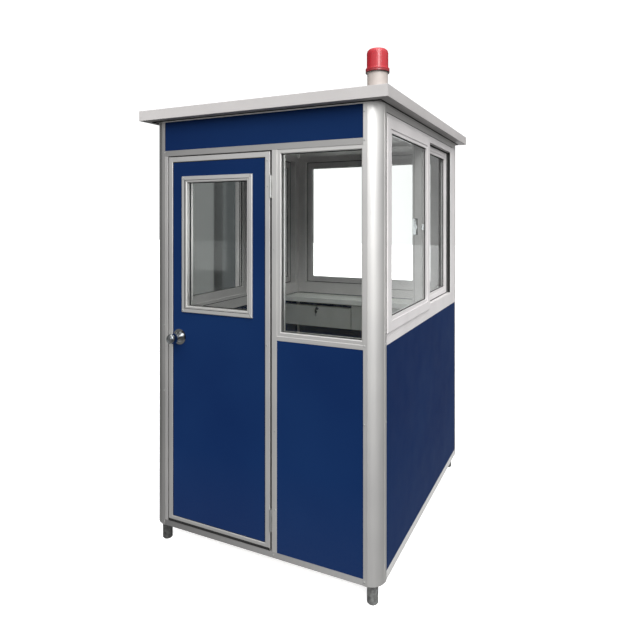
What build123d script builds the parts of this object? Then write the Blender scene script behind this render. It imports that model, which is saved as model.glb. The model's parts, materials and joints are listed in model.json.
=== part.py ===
from build123d import *
import os
from math import cos, radians, sin
from types import SimpleNamespace

# Security guard booth: four round-cornered posts, panelled walls, a glazed door,
# three sliding windows, a flat roof with a warning beacon, and a desk with a drawer.
#
# Millimetres, +Z up. The origin is on the ground at the centre of the footprint. The
# door is in the front wall, which faces -Y, and +X is on the right as one looks at it.

# ---------------------------------------------------------------- overall sizes
body_width = 1200.0  # over the corner posts, left to right
body_depth = 1500.0  # over the corner posts, front to back
underside_height = 90.0  # ground to the underside of the base frame
wall_height = 2006.0  # underside of the base frame to the underside of the roof
wall_thickness = 50.0
touch = 1.0  # how far pieces that are fused together run into each other
arris = 1.5  # eased edges of the leaf, the sashes and the window frames
section_arris = 0.8  # eased edges of the fixed aluminium sections

# ---------------------------------------------------------------- base and floor
foot_diameter = 48.0
foot_inset_x = 50.0  # from the post's outer face to the foot's axis
foot_inset_y = 46.0
foot_edge = 5.0  # eased lower edge
front_rail_height = 27.0
side_rail_height = 38.0
rail_ledge = 45.0  # how far the base frame runs in under the floor
bearer_width = 60.0
bearer_count = 2
floor_thickness = 12.0
floor_gap = 0.5

# ---------------------------------------------------------------- corner posts
post_radius = 65.0
post_lip = 9.0  # width of the lip that laps over the panels
post_lip_thickness = 1.5

# ---------------------------------------------------------------- top of the walls
ring_height = 9.0  # capping strip between the walls and the roof
ring_proud = 3.0
ring_inner = 8.0  # how far the strip runs inside the wall's inner face
header_height = 29.0  # rail over the side and rear windows

# ---------------------------------------------------------------- roof
roof_thickness = 50.0
roof_overhang = 50.0
roof_trim_thickness = 2.0
roof_trim_return = 16.0  # how far the edge trim runs in over the slab

# ---------------------------------------------------------------- front wall
transom_underside = 1828.0  # above the underside of the base frame
transom_height = 28.0
jamb_width = 26.0
mullion_width = 26.0
mullion_left_x = 87.0
stop_width = 12.0  # lip behind the door leaf
stop_thickness = 5.0
stop_gap = 5.0  # between the shut leaf and the lip
sill_height = 975.0  # of the front lower panel, above the underside of the base
sill_rail_height = 20.0
panel_recess = 1.0  # front panels lie this far behind the aluminium sections

# sidelight
bead_width = 18.0
bead_recess = 3.0
bead_arris = 2.5
glass_thickness = 5.0
glass_bite = 6.0  # how far a pane runs into the groove round it
glass_gap = 0.2  # round a pane in its groove
sidelight_glass_depth = 20.0  # wall face to the glass

# ---------------------------------------------------------------- door
door_gap = 5.0
hinge_gap = 10.0  # between the leaf's hinge edge and the mullion
leaf_thickness = 40.0
stile_width = 25.0
leaf_panel_recess = 2.0
door_window_width = 406.0
door_window_height = 661.0
door_window_left = 84.0  # leaf's free edge to the window frame
door_window_top = 97.0  # leaf's top to the window frame
door_window_face = 30.0
door_window_proud = 8.0
door_window_lap = 20.0  # how far the frame laps over the panel
door_window_bead = 12.0  # glazing bead, part of the frame's face
door_window_step = 3.0  # bead below the face
door_window_arris = 2.5
door_glass_depth = 28.0  # window frame's face to the glass

# hinges
hinge_length = 100.0
hinge_centres = (168.0, 1664.0)  # above the underside of the base frame
knuckle_radius = 5.0
hinge_pin_radius = 2.5
hinge_pin_clearance = 0.1
knuckle_count = 3
knuckle_gap = 0.4
hinge_plate_thickness = 2.0
hinge_plate_depth = 34.0

# knob
knob_height = 942.0  # above the underside of the base frame
knob_inset = 67.0  # leaf's free edge to the knob's axis
rose_radius = 38.0
rose_thickness = 9.0
rose_rim_width = 11.0
rose_rim_thickness = 3.0
rose_crown_radius = 19.0
knob_radius = 25.5
knob_neck_radius = 13.0
knob_reach = 76.0  # leaf's panel face to the knob's end
knob_barrel_length = 36.0
knob_shoulder_length = 10.0
knob_edge_radius = 3.0
knob_edge_flats = 2  # that the knob's end is rounded with
knob_gap = 0.5  # between the rose and the knob's neck
knob_plug_radius = 11.0  # lock cylinder's face in the outer knob
knob_plug_depth = 1.5
key_slot_width = 2.5
key_slot_length = 10.0
key_slot_depth = 8.0
spindle_radius = 6.0
spindle_clearance = 0.1
lock_bore_radius = 14.0

# ---------------------------------------------------------------- sliding windows
window_sill_height = 986.0  # above the underside of the base frame
window_height = 982.0
window_corner_gap = 1.0  # between the frames of two walls, where they meet at a post
window_back_web = 9.0  # behind the inner sash's track
window_jamb = 50.0
window_head = 36.0
window_sill = 74.0
window_filler = 73.0  # strip between a side window and the post on its right
sash_face = 60.0
outer_sash_proud = 8.0
side_sash_gap = 1.0  # post's lip to the outer sash's flange, at the side windows
rear_sash_gap = 18.0  # the same at the rear window
outer_sash_lap_bottom = 22.0  # flange over the sill
outer_sash_lap_top = 16.0  # flange over the head
track_gap = 1.0  # beside a sash in its track
inner_lap_side = 10.0  # inner sash behind the jamb
inner_lap_bottom = 18.0
inner_lap_top = 14.0
sash_glass_recess = 12.0
sash_bead_width = 16.0  # glazing bead, part of the sash's face
sash_bead_step = 3.0  # bead below the face
stile_rib_width = 32.0  # pull rail on the room side of the inner sash's meeting stile
stile_rib_depth = 20.0
jamb_hole_radius = 5.0  # in the reveal of the jamb that the inner sash shuts against
jamb_hole_depth = 12.0
jamb_hole_height = 693.0  # above the window frame's underside
latch_height = 490.0  # above the window frame's underside
latch_plate_width = 20.0
latch_plate_length = 80.0
latch_plate_thickness = 4.0
latch_boss_radius = 8.0
latch_boss_height = 14.0
latch_cam_radius = 17.0
latch_cam_thickness = 4.0
latch_lever_width = 9.0
latch_lever_length = 44.0
latch_lever_thickness = 5.0
latch_keeper_length = 30.0
latch_keeper_gap = 3.0  # between the keeper and the outer sash's pane
latch_keeper_thickness = 6.0

# ---------------------------------------------------------------- desk and drawer
desk_height = 980.0  # desk top, above the underside of the base frame
desk_depth = 210.0
desk_thickness = 34.0
desk_overhang = 15.0  # desk top over the drawer's front
desk_gap = 0.5
drawer_front_width = 496.0
drawer_front_height = 137.0
drawer_front_thickness = 18.0
drawer_front_drop = 26.0  # underside of the desk top to the drawer's front
drawer_side_gap = 5.0
tray_wall = 10.0
tray_floor = 6.0
tray_inset = 13.0  # drawer front's end to the tray's side
tray_height = 100.0
tray_rise = 12.0  # tray's underside over the front's lower edge
tray_back_gap = 12.0
runner_thickness = 3.0
runner_width = 20.0
runner_gap = 0.3
lock_radius = 9.0
lock_proud = 5.0
lock_drop = 14.0  # top of the drawer's front to the lock's axis
desk_edge = 3.0  # eased front edges of the desk top

# ---------------------------------------------------------------- beacon
beacon_x = 556.0
beacon_y = -660.0
beacon_base_radius = 44.0
beacon_base_height = 84.0
beacon_flange_radius = 49.0
beacon_flange_height = 10.0
beacon_lens_radius = 46.0
beacon_lens_rim = 5.0  # how far the lens's foot stands out past its wall
beacon_lens_rim_height = 7.0
beacon_lens_height = 91.0
beacon_lens_wall = 3.0
beacon_dome_radius = 18.0
beacon_dome_flats = 3  # that the dome's edge is rounded with
reflector_radius = 22.0
reflector_height = 12.0
lamp_radius = 8.0
lamp_height = 48.0

# ---------------------------------------------------------------- worked-out places
half_width = body_width / 2
half_depth = body_depth / 2
bay_half_x = half_width - post_radius  # wall between the posts, front and rear
bay_half_y = half_depth - post_radius  # wall between the posts, left and right
front_face = -half_depth
front_back = front_face + wall_thickness
inner_x = half_width - wall_thickness
inner_y = half_depth - wall_thickness
base_z = underside_height
front_rail_top = base_z + front_rail_height
side_rail_top = base_z + side_rail_height
roof_under = base_z + wall_height
ring_under = roof_under - ring_height
header_under = ring_under - header_height
transom_z = base_z + transom_underside
transom_top = transom_z + transom_height
sill_z = base_z + sill_height
sill_rail_top = sill_z + sill_rail_height
window_z = base_z + window_sill_height

leaf_left = -bay_half_x + jamb_width + door_gap
leaf_right = mullion_left_x - hinge_gap
leaf_bottom = front_rail_top + door_gap
leaf_top = transom_z - door_gap
leaf_back = front_face + leaf_thickness
stop_back = leaf_back + stop_gap + stop_thickness
opening_back = max(front_back, stop_back)  # how deep the sections round the door are
leaf_panel_front = front_face + leaf_panel_recess
leaf_panel_back = leaf_back - leaf_panel_recess
hinge_x = (leaf_right + mullion_left_x) / 2
hinge_y = front_face - knuckle_radius
knob_x = leaf_left + knob_inset
knob_z = base_z + knob_height

window_depth = post_radius - window_corner_gap
sash_thickness = (window_depth - window_back_web + outer_sash_proud - 3 * track_gap) / 2

desk_top_z = base_z + desk_height
desk_under = desk_top_z - desk_thickness
desk_front = inner_y - desk_depth
drawer_face = desk_front + desk_overhang
drawer_top = desk_under - drawer_front_drop
drawer_bottom = drawer_top - drawer_front_height
drawer_left = -inner_x + drawer_side_gap
drawer_right = drawer_left + drawer_front_width


# ---------------------------------------------------------------- helpers
def block(x0, x1, y0, y1, z0, z1):
    """Box between two corners."""
    size = Box(x1 - x0, y1 - y0, z1 - z0)
    return Pos((x0 + x1) / 2, (y0 + y1) / 2, (z0 + z1) / 2) * size


def wall_ring(x0, x1, z0, z1, face, y0, y1):
    """Rectangular frame in a wall that faces -Y, with members of one face width."""
    hole = block(x0 + face, x1 - face, y0 - touch, y1 + touch, z0 + face, z1 - face)
    return block(x0, x1, y0, y1, z0, z1) - hole


def pane(x0, x1, z0, z1, y0, margin=0.0):
    """Glass for an opening, which runs into the groove round it; grown, the groove."""
    b = glass_bite + margin
    y1 = y0 + glass_thickness
    return block(x0 - b, x1 + b, y0 - margin, y1 + margin, z0 - b, z1 + b)


def ease_long(section, axis, size):
    """Eased edges along the front of a straight section."""
    return chamfer(section.edges().filter_by(axis).group_by(Axis.Y)[0], size)


def ease_ring(ring, outer, inner=0.0):
    """Eased outer and inner edges on the front of a frame."""
    if inner:
        front = ring.faces().sort_by(Axis.Y)[0]
        ring = chamfer(front.inner_wires()[0].edges(), inner)
    front = ring.faces().sort_by(Axis.Y)[0]
    return chamfer(front.outer_wire().edges(), outer) if outer else ring


def quarter_turn(x, z, radius, flats):
    """Points round a quarter of a circle, from its widest place to its top."""
    angles = [radians(90 * i / flats) for i in range(flats + 1)]
    return [(x + radius * cos(a), z + radius * sin(a)) for a in angles]


def upright(radius, height, x, y, z0):
    """Vertical cylinder standing at z0."""
    return Pos(x, y, z0 + height / 2) * Cylinder(radius, height)


def along_y(radius, x, z, y0, y1):
    """Cylinder along Y between two depths."""
    turned = Rot(X=90) * Cylinder(radius, y1 - y0)
    return Pos(x, (y0 + y1) / 2, z) * turned


def along_x(radius, y, z, x0, x1):
    """Cylinder along X between two places."""
    turned = Rot(Y=90) * Cylinder(radius, x1 - x0)
    return Pos((x0 + x1) / 2, y, z) * turned


def footprint(margin=0.0):
    """Rounded outline of the booth, grown by a margin."""
    outline = Rectangle(body_width + 2 * margin, body_depth + 2 * margin)
    return fillet(outline.vertices(), post_radius + margin)


# ---------------------------------------------------------------- base
def corner_squares(z0, z1, clearance=0.0):
    """The four corners that the posts stand in."""
    side = post_radius + clearance
    squares = []
    for sign_x in (-1, 1):
        for sign_y in (-1, 1):
            x = sign_x * (half_width - side / 2)
            y = sign_y * (half_depth - side / 2)
            squares.append(Pos(x, y, (z0 + z1) / 2) * Box(side, side, z1 - z0 + 2 * touch))
    return squares


def make_base_frame():
    """Perimeter rail with a ledge under the floor, higher at the sides and rear."""
    ledge_x = inner_x - rail_ledge
    ledge_y = inner_y - rail_ledge
    low = block(-half_width, half_width, -half_depth, half_depth, base_z, front_rail_top)
    low -= block(-ledge_x, ledge_x, -ledge_y, ledge_y, base_z - touch, front_rail_top + touch)
    top = side_rail_top
    left = block(-half_width, -inner_x, -half_depth, half_depth, base_z, top)
    right = block(inner_x, half_width, -half_depth, half_depth, base_z, top)
    rear = block(-half_width, half_width, inner_y, half_depth, base_z, top)
    frame = low + left + right + rear
    pitch = 2 * ledge_y / (bearer_count + 1)
    for i in range(bearer_count):
        y = -ledge_y + pitch * (i + 1)
        half = bearer_width / 2
        reach = ledge_x + touch
        frame += block(-reach, reach, y - half, y + half, base_z, front_rail_top)
    for square in corner_squares(base_z, side_rail_top):
        frame -= square
    return frame


def make_floor():
    """Floor sheet on the base frame's ledge, notched round the posts."""
    x = inner_x - floor_gap
    sheet = block(-x, x, opening_back + floor_gap, inner_y - floor_gap,
                  front_rail_top, front_rail_top + floor_thickness)
    for square in corner_squares(front_rail_top, front_rail_top + floor_thickness, floor_gap):
        sheet -= square
    return sheet


def make_feet():
    """Tube feet under the corner posts."""
    feet = []
    for sign_x in (-1, 1):
        for sign_y in (-1, 1):
            x = sign_x * (half_width - foot_inset_x)
            y = sign_y * (half_depth - foot_inset_y)
            foot = upright(foot_diameter / 2, base_z, x, y, 0)
            feet.append(chamfer(foot.edges().sort_by(Axis.Z)[0], foot_edge))
    return Compound(children=feet)


# ---------------------------------------------------------------- posts and top
def post_section():
    """Quarter round with a thin lip over the panel on each side of it."""
    r = post_radius
    section = Circle(r) & Pos(r / 2, -r / 2) * Rectangle(r, r)
    t = post_lip_thickness
    length = 2 * post_lip
    front_lip = Pos(0, -r - t / 2) * Rectangle(length, t)
    root = Pos(post_lip / 2, -r + t / 2) * Rectangle(post_lip, 2 * t)
    side_lip = Pos(r + t / 2, 0) * Rectangle(t, length)
    side_root = Pos(r - t / 2, -post_lip / 2) * Rectangle(2 * t, post_lip)
    return section + front_lip + root + side_lip + side_root


def make_post(sign_x, sign_y):
    """One corner post, from the base frame's underside to the capping strip."""
    turn = {(1, -1): 0, (1, 1): 90, (-1, 1): 180, (-1, -1): 270}[(sign_x, sign_y)]
    place = Pos(sign_x * bay_half_x, sign_y * bay_half_y, base_z)
    return place * (Rot(Z=turn) * extrude(post_section(), ring_under - base_z))


def make_top_ring():
    """Capping strip round the wall tops, a little proud of them."""
    ring_x = inner_x - ring_inner
    ring_y = inner_y - ring_inner
    outline = footprint(ring_proud) - Rectangle(2 * ring_x, 2 * ring_y)
    return Pos(0, 0, ring_under) * extrude(outline, ring_height)


def make_header_rails():
    """Rails over the side and rear windows."""
    z0, z1 = header_under, ring_under
    right = block(inner_x, half_width, -bay_half_y, bay_half_y, z0, z1)
    left = block(-half_width, -inner_x, -bay_half_y, bay_half_y, z0, z1)
    rear = block(-bay_half_x, bay_half_x, inner_y, half_depth, z0, z1)
    return Compound(children=[right, left, rear])


# ---------------------------------------------------------------- roof
def make_roof_panel():
    """Flat sandwich slab inside its edge trim."""
    t = roof_trim_thickness
    x = half_width + roof_overhang - t
    y = half_depth + roof_overhang - t
    slab = block(-x, x, -y, y, roof_under, roof_under + roof_thickness)
    lip_x = half_width + roof_overhang - roof_trim_return
    lip_y = half_depth + roof_overhang - roof_trim_return
    for z0 in (roof_under, roof_under + roof_thickness - t):
        rebate = block(-x - t, x + t, -y - t, y + t, z0, z0 + t)
        rebate -= block(-lip_x, lip_x, -lip_y, lip_y, z0 - touch, z0 + t + touch)
        slab -= rebate
    return slab


def make_roof_trim():
    """Folded edge trim: a channel round all four edges of the slab."""
    t = roof_trim_thickness
    x = half_width + roof_overhang
    y = half_depth + roof_overhang
    lip_x = x - roof_trim_return
    lip_y = y - roof_trim_return
    z0, z1 = roof_under, roof_under + roof_thickness
    channel = block(-x, x, -y, y, z0, z1)
    channel -= block(-x + t, x - t, -y + t, y - t, z0 + t, z1 - t)
    channel -= block(-lip_x, lip_x, -lip_y, lip_y, z0 - touch, z1 + touch)
    for end in (0, -1):
        face = channel.faces().sort_by(Axis.Z)[end]
        channel = chamfer(face.outer_wire().edges(), t / 2)
    return channel


# ---------------------------------------------------------------- front wall
def make_front_header_panel():
    """Solid panel over the door and sidelight."""
    y0 = front_face + panel_recess
    return block(-bay_half_x, bay_half_x, y0, front_back, transom_top, ring_under)


def make_front_transom():
    """Rail over the door and sidelight, with the door's stop behind it."""
    rail = block(-bay_half_x, bay_half_x, front_face, opening_back, transom_z, transom_top)
    rail = ease_long(rail, Axis.X, section_arris)
    stop_left = -bay_half_x + jamb_width
    stop = block(stop_left, mullion_left_x, stop_back - stop_thickness, stop_back,
                 transom_z - stop_width, transom_z + touch)
    return rail + stop


def make_door_jamb():
    """Left upright that the door closes against."""
    x0 = -bay_half_x
    x1 = x0 + jamb_width
    post = block(x0, x1, front_face, opening_back, front_rail_top, transom_z)
    post = ease_long(post, Axis.Z, section_arris)
    stop = block(x1 - touch, x1 + stop_width, stop_back - stop_thickness, stop_back,
                 front_rail_top, transom_z - stop_width)
    return post + stop


def make_door_mullion():
    """Upright between the door and the sidelight, which carries the hinges."""
    x0 = mullion_left_x
    x1 = x0 + mullion_width
    post = block(x0, x1, front_face, opening_back, front_rail_top, transom_z)
    post = ease_long(post, Axis.Z, section_arris)
    stop = block(x0 - stop_width, x0 + touch, stop_back - stop_thickness, stop_back,
                 front_rail_top, transom_z - stop_width)
    return post + stop


def make_front_lower_panel():
    """Solid panel under the sidelight."""
    x0 = mullion_left_x + mullion_width
    return block(x0, bay_half_x, front_face + panel_recess, front_back, front_rail_top, sill_z)


def make_sidelight_sill():
    """Rail between the lower panel and the sidelight."""
    x0 = mullion_left_x + mullion_width
    rail = block(x0, bay_half_x, front_face, front_back, sill_z, sill_rail_top)
    return ease_long(rail, Axis.X, section_arris)


def sidelight_box():
    """Clear opening that the sidelight's beads line."""
    x0 = mullion_left_x + mullion_width
    return x0, bay_half_x, sill_rail_top, transom_z


def sidelight_pane(margin=0.0):
    """Fixed pane within the beads."""
    x0, x1, z0, z1 = sidelight_box()
    b = bead_width
    return pane(x0 + b, x1 - b, z0 + b, z1 - b, front_face + sidelight_glass_depth, margin)


def make_sidelight_beads():
    """Glazing beads round the sidelight, with a groove that holds the glass."""
    x0, x1, z0, z1 = sidelight_box()
    y0 = front_face + bead_recess
    beads = wall_ring(x0, x1, z0, z1, bead_width, y0, front_back - bead_recess)
    return ease_ring(beads, 0.0, bead_arris) - sidelight_pane(glass_gap)


# ---------------------------------------------------------------- lower wall panels
def make_side_panel(sign_x):
    """Solid panel under a side window."""
    x0, x1 = sorted((sign_x * inner_x, sign_x * half_width))
    return block(x0, x1, -bay_half_y, bay_half_y, side_rail_top, window_z)


def make_rear_panel():
    """Solid panel under the rear window."""
    return block(-bay_half_x, bay_half_x, inner_y, half_depth, side_rail_top, window_z)


# ---------------------------------------------------------------- sliding windows
def window_layout(bay_half, filler, sash_gap):
    """Sizes of a sliding window, in a wall that faces -Y with its face at y = 0."""
    left = -bay_half
    right = bay_half - filler
    middle = (left + right) / 2
    z0 = window_z
    z1 = window_z + window_height
    return SimpleNamespace(
        left=left,
        right=right,
        z0=z0,
        z1=z1,
        open_left=left + window_jamb,
        open_right=right - window_jamb,
        open_z0=z0 + window_sill,
        open_z1=z1 - window_head,
        outer_left=left + post_lip + sash_gap,
        outer_right=middle + sash_face,
        outer_z0=z0 + window_sill - outer_sash_lap_bottom,
        outer_z1=z1 - window_head + outer_sash_lap_top,
        inner_left=middle,
        inner_right=right - window_jamb + inner_lap_side,
        inner_z0=z0 + window_sill - inner_lap_bottom,
        inner_z1=z1 - window_head + inner_lap_top,
        outer_glass_back=sash_glass_recess - outer_sash_proud + glass_thickness,
        outer_back=sash_thickness - outer_sash_proud,
        inner_front=sash_thickness - outer_sash_proud + 2 * track_gap,
        inner_back=2 * sash_thickness - outer_sash_proud + 2 * track_gap,
    )


def make_window_frame(w):
    """Fixed frame with a track behind its face for the inner sash."""
    frame = block(w.left, w.right, 0, window_depth, w.z0, w.z1)
    frame -= block(w.open_left, w.open_right, -touch, window_depth + touch, w.open_z0, w.open_z1)
    frame = ease_ring(frame, 0.0, arris)
    track_front = w.inner_front - track_gap
    track_back = w.inner_back + track_gap
    frame -= block(w.open_left, w.inner_right + track_gap, track_front, track_back,
                   w.inner_z0, w.inner_z1 + track_gap)
    hole = along_x(jamb_hole_radius, track_front / 2, window_z + jamb_hole_height,
                   w.open_right - touch, w.open_right + jamb_hole_depth)
    return frame - hole


def bead_step(x0, x1, z0, z1, y0):
    """What the glazing bead's step takes off a sash's face."""
    f = sash_face - sash_bead_width
    return block(x0 + f, x1 - f, y0 - touch, y0 + sash_bead_step, z0 + f, z1 - f)


def outer_pane(w, margin=0.0):
    """Pane of the outer sash."""
    f = sash_face
    return pane(w.outer_left + f, w.outer_right - f, w.outer_z0 + f, w.outer_z1 - f,
                sash_glass_recess - outer_sash_proud, margin)


def inner_pane(w, margin=0.0):
    """Pane of the inner sash."""
    f = sash_face
    return pane(w.inner_left + f, w.inner_right - f, w.inner_z0 + f, w.inner_z1 - f,
                w.inner_front + sash_glass_recess, margin)


def make_outer_sash(w):
    """Left sash as seen from outside, with a flange that laps over the frame."""
    face = sash_face
    x0, x1, z0, z1 = w.outer_left, w.outer_right, w.outer_z0, w.outer_z1
    flange = wall_ring(x0, x1, z0, z1, face, -outer_sash_proud, 0)
    flange = ease_ring(flange, arris) - bead_step(x0, x1, z0, z1, -outer_sash_proud)
    body = block(w.open_left + track_gap, x1, -touch, w.outer_back,
                 w.open_z0, w.open_z1 - track_gap)
    body -= block(x0 + face, x1 - face, -2 * touch, w.outer_back + touch, z0 + face, z1 - face)
    sash = flange + body
    return sash - outer_pane(w, glass_gap)


def make_inner_sash(w):
    """Right sash as seen from outside, behind the outer one, with a pull rail indoors."""
    x0, x1, z0, z1 = w.inner_left, w.inner_right, w.inner_z0, w.inner_z1
    sash = wall_ring(x0, x1, z0, z1, sash_face, w.inner_front, w.inner_back)
    sash -= bead_step(x0, x1, z0, z1, w.inner_front)
    rib = block(x0, x0 + stile_rib_width, w.inner_back - touch, w.inner_back + stile_rib_depth,
                w.open_z0 + track_gap, w.open_z1 - track_gap)
    sash += rib
    return sash - inner_pane(w, glass_gap)


def make_window_latch(w):
    """Crescent latch on the free edge of the inner sash's pull rail, and its keeper."""
    x = w.inner_left
    y = w.inner_back + stile_rib_depth - latch_plate_width / 2
    z = window_z + latch_height
    free = x - latch_boss_height
    plate = block(x - latch_plate_thickness, x, y - latch_plate_width / 2,
                  y + latch_plate_width / 2, z - latch_plate_length / 2,
                  z + latch_plate_length / 2)
    cam = along_x(latch_cam_radius, y, z, x - latch_plate_thickness - latch_cam_thickness,
                  x - latch_plate_thickness + touch)
    cam &= block(free, x, y - 2 * latch_cam_radius, y + touch, z - latch_cam_radius,
                 z + latch_cam_radius)
    boss = along_x(latch_boss_radius, y, z, free, x - touch)
    lever = block(free, free + latch_lever_thickness, y - latch_lever_width / 2,
                  y + latch_lever_width / 2, z, z + latch_lever_length)
    half = latch_keeper_length / 2
    keeper = block(x - latch_keeper_thickness, x, w.outer_glass_back + latch_keeper_gap,
                   w.outer_back, z - half, z + half)
    return [plate + cam + boss + lever, keeper]


def window_parts(bay_half, filler, sash_gap):
    """All the solids of one window, in its own wall frame."""
    w = window_layout(bay_half, filler, sash_gap)
    return {
        "frame": [make_window_frame(w)],
        "sashes": [make_outer_sash(w), make_inner_sash(w)],
        "glass": [outer_pane(w), inner_pane(w)],
        "latch": make_window_latch(w),
    }


# ---------------------------------------------------------------- door
def door_window_outline():
    """Outer edges of the door's window frame."""
    x0 = leaf_left + door_window_left
    z1 = leaf_top - door_window_top
    return x0, x0 + door_window_width, z1 - door_window_height, z1


def make_door_frame():
    """Aluminium stiles and rails of the leaf."""
    ring = wall_ring(leaf_left, leaf_right, leaf_bottom, leaf_top, stile_width,
                     front_face, leaf_back)
    return ease_ring(ring, arris, arris)


def make_door_panel():
    """Infill panel, cut for the window and for the lock's spindle."""
    s = stile_width
    panel = block(leaf_left + s, leaf_right - s, leaf_panel_front, leaf_panel_back,
                  leaf_bottom + s, leaf_top - s)
    x0, x1, z0, z1 = door_window_outline()
    lap = door_window_lap
    panel -= block(x0 + lap, x1 - lap, front_face - touch, leaf_back + touch, z0 + lap, z1 - lap)
    panel -= along_y(lock_bore_radius, knob_x, knob_z, front_face - touch, leaf_back + touch)
    return panel


def door_pane(margin=0.0):
    """Pane of the door's window."""
    x0, x1, z0, z1 = door_window_outline()
    f = door_window_face
    y0 = leaf_panel_front - door_window_proud + door_glass_depth
    return pane(x0 + f, x1 - f, z0 + f, z1 - f, y0, margin)


def make_door_window_frame():
    """Frame that clasps the panel round the door's window."""
    x0, x1, z0, z1 = door_window_outline()
    face = door_window_face
    lap = door_window_lap
    edge = door_window_arris
    y0 = leaf_panel_front - door_window_proud
    y1 = leaf_panel_back + door_window_proud
    flat = face - door_window_bead
    outer = ease_ring(wall_ring(x0, x1, z0, z1, flat, y0, leaf_panel_front), edge)
    bead = wall_ring(x0 + flat, x1 - flat, z0 + flat, z1 - flat, door_window_bead,
                     y0 + door_window_step, leaf_panel_front)
    outer += ease_ring(bead, 0.0, edge)
    inner = wall_ring(x0, x1, z0, z1, face, leaf_panel_back, y1)
    web = wall_ring(x0 + lap, x1 - lap, z0 + lap, z1 - lap, face - lap,
                    leaf_panel_front - touch, leaf_panel_back + touch)
    frame = outer + web + inner
    return frame - door_pane(glass_gap)


def knuckle_spans(centre_z):
    """Lower and upper end of each knuckle of one hinge, from the bottom."""
    length = (hinge_length - knuckle_gap * (knuckle_count - 1)) / knuckle_count
    z0 = centre_z - hinge_length / 2
    return [(z0 + i * (length + knuckle_gap), z0 + i * (length + knuckle_gap) + length)
            for i in range(knuckle_count)]


def make_frame_hinge(centre_z):
    """Hinge half on the mullion: odd knuckles, plate and pin."""
    low = centre_z - hinge_length / 2
    half = upright(hinge_pin_radius, hinge_length, hinge_x, hinge_y, low)
    plate_x = mullion_left_x - hinge_plate_thickness
    for z0, z1 in knuckle_spans(centre_z)[::2]:
        half += upright(knuckle_radius, z1 - z0, hinge_x, hinge_y, z0)
        half += block(plate_x, mullion_left_x, hinge_y, front_face + touch, z0, z1)
    half += block(plate_x, mullion_left_x, front_face, front_face + hinge_plate_depth,
                  low, low + hinge_length)
    return half


def make_leaf_hinge(centre_z):
    """Hinge half on the door leaf: even knuckles and plate."""
    low = centre_z - hinge_length / 2
    plate_x = leaf_right + hinge_plate_thickness
    half = block(leaf_right, plate_x, front_face, front_face + hinge_plate_depth,
                 low, low + hinge_length)
    for z0, z1 in knuckle_spans(centre_z)[1::2]:
        half += upright(knuckle_radius, z1 - z0, hinge_x, hinge_y, z0)
        half += block(leaf_right, plate_x, hinge_y, front_face + touch, z0, z1)
    bore = hinge_pin_radius + hinge_pin_clearance
    return half - upright(bore, hinge_length + 2 * touch, hinge_x, hinge_y, low - touch)


def make_hinges(make_half):
    """The same half of both hinges."""
    return Compound(children=[make_half(base_z + z) for z in hinge_centres])


def make_rose(side):
    """Plate round the knob's neck, on the outside (-1) or the inside (1) of the leaf."""
    bore = spindle_radius + spindle_clearance
    t = rose_thickness
    rim = rose_rim_thickness
    crown_foot = rose_radius - rose_rim_width
    profile = make_face(Polyline(
        (bore, 0), (rose_radius, 0), (rose_radius, rim), (crown_foot, rim),
        (rose_crown_radius, t), (bore, t), close=True,
    ))
    turned = revolve(Plane.XZ * profile, Axis.Z)
    face = leaf_panel_front if side < 0 else leaf_panel_back
    tilt = Rot(X=90) if side < 0 else Rot(X=-90)
    return Pos(knob_x, face, knob_z) * (tilt * turned)


def turned_knob():
    """One knob standing on its rose: neck, shoulder, barrel and flat end."""
    start = rose_thickness + knob_gap
    barrel = knob_reach - knob_barrel_length
    edge = knob_edge_radius
    profile = make_face(Polyline(
        (0, start),
        (knob_neck_radius, start),
        (knob_neck_radius, barrel - knob_shoulder_length),
        (knob_radius, barrel),
        *quarter_turn(knob_radius - edge, knob_reach - edge, edge, knob_edge_flats),
        (0, knob_reach),
        close=True,
    ))
    return revolve(Plane.XZ * profile, Axis.Z)


def make_door_knob():
    """Both knobs on one spindle through the leaf, the outer one with a keyhole."""
    knob = turned_knob()
    ring = Cylinder(knob_plug_radius + key_slot_width / 2, knob_plug_depth)
    ring -= Cylinder(knob_plug_radius, knob_plug_depth)
    slot = Box(key_slot_width, key_slot_length, key_slot_depth)
    keyed = knob - Pos(0, 0, knob_reach - knob_plug_depth / 2 + touch / 2) * ring
    keyed -= Pos(0, 0, knob_reach - key_slot_depth / 2 + touch / 2) * slot
    outside = Pos(knob_x, leaf_panel_front, knob_z) * (Rot(X=90) * keyed)
    inside = Pos(knob_x, leaf_panel_back, knob_z) * (Rot(X=-90) * knob)
    reach = rose_thickness + knob_gap + touch
    spindle = along_y(spindle_radius, knob_x, knob_z, leaf_panel_front - reach,
                      leaf_panel_back + reach)
    return outside + spindle + inside


# ---------------------------------------------------------------- desk
def make_desk_top():
    """Narrow desk across the rear wall, notched round the rear posts."""
    x = inner_x - desk_gap
    top = block(-x, x, desk_front, inner_y, desk_under, desk_top_z)
    front = top.edges().filter_by(Axis.X).group_by(Axis.Y)[0]
    top = chamfer(front, desk_edge)
    for square in corner_squares(desk_under, desk_top_z, desk_gap):
        top -= square
    return top


def make_desk_apron():
    """Fixed front and the upright beside the drawer."""
    x0 = drawer_right + drawer_side_gap
    t = drawer_front_thickness
    x = inner_x - desk_gap
    front = block(x0, x, drawer_face, drawer_face + t, drawer_bottom, desk_under)
    divider = block(x0, x0 + t, drawer_face, inner_y, drawer_bottom, desk_under)
    return front + divider


def tray_box():
    """Outer edges of the drawer's tray."""
    x0 = drawer_left + tray_inset
    x1 = drawer_right - tray_inset
    z0 = drawer_bottom + tray_rise
    return x0, x1, drawer_face + drawer_front_thickness, inner_y - tray_back_gap, z0, z0 + tray_height


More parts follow.
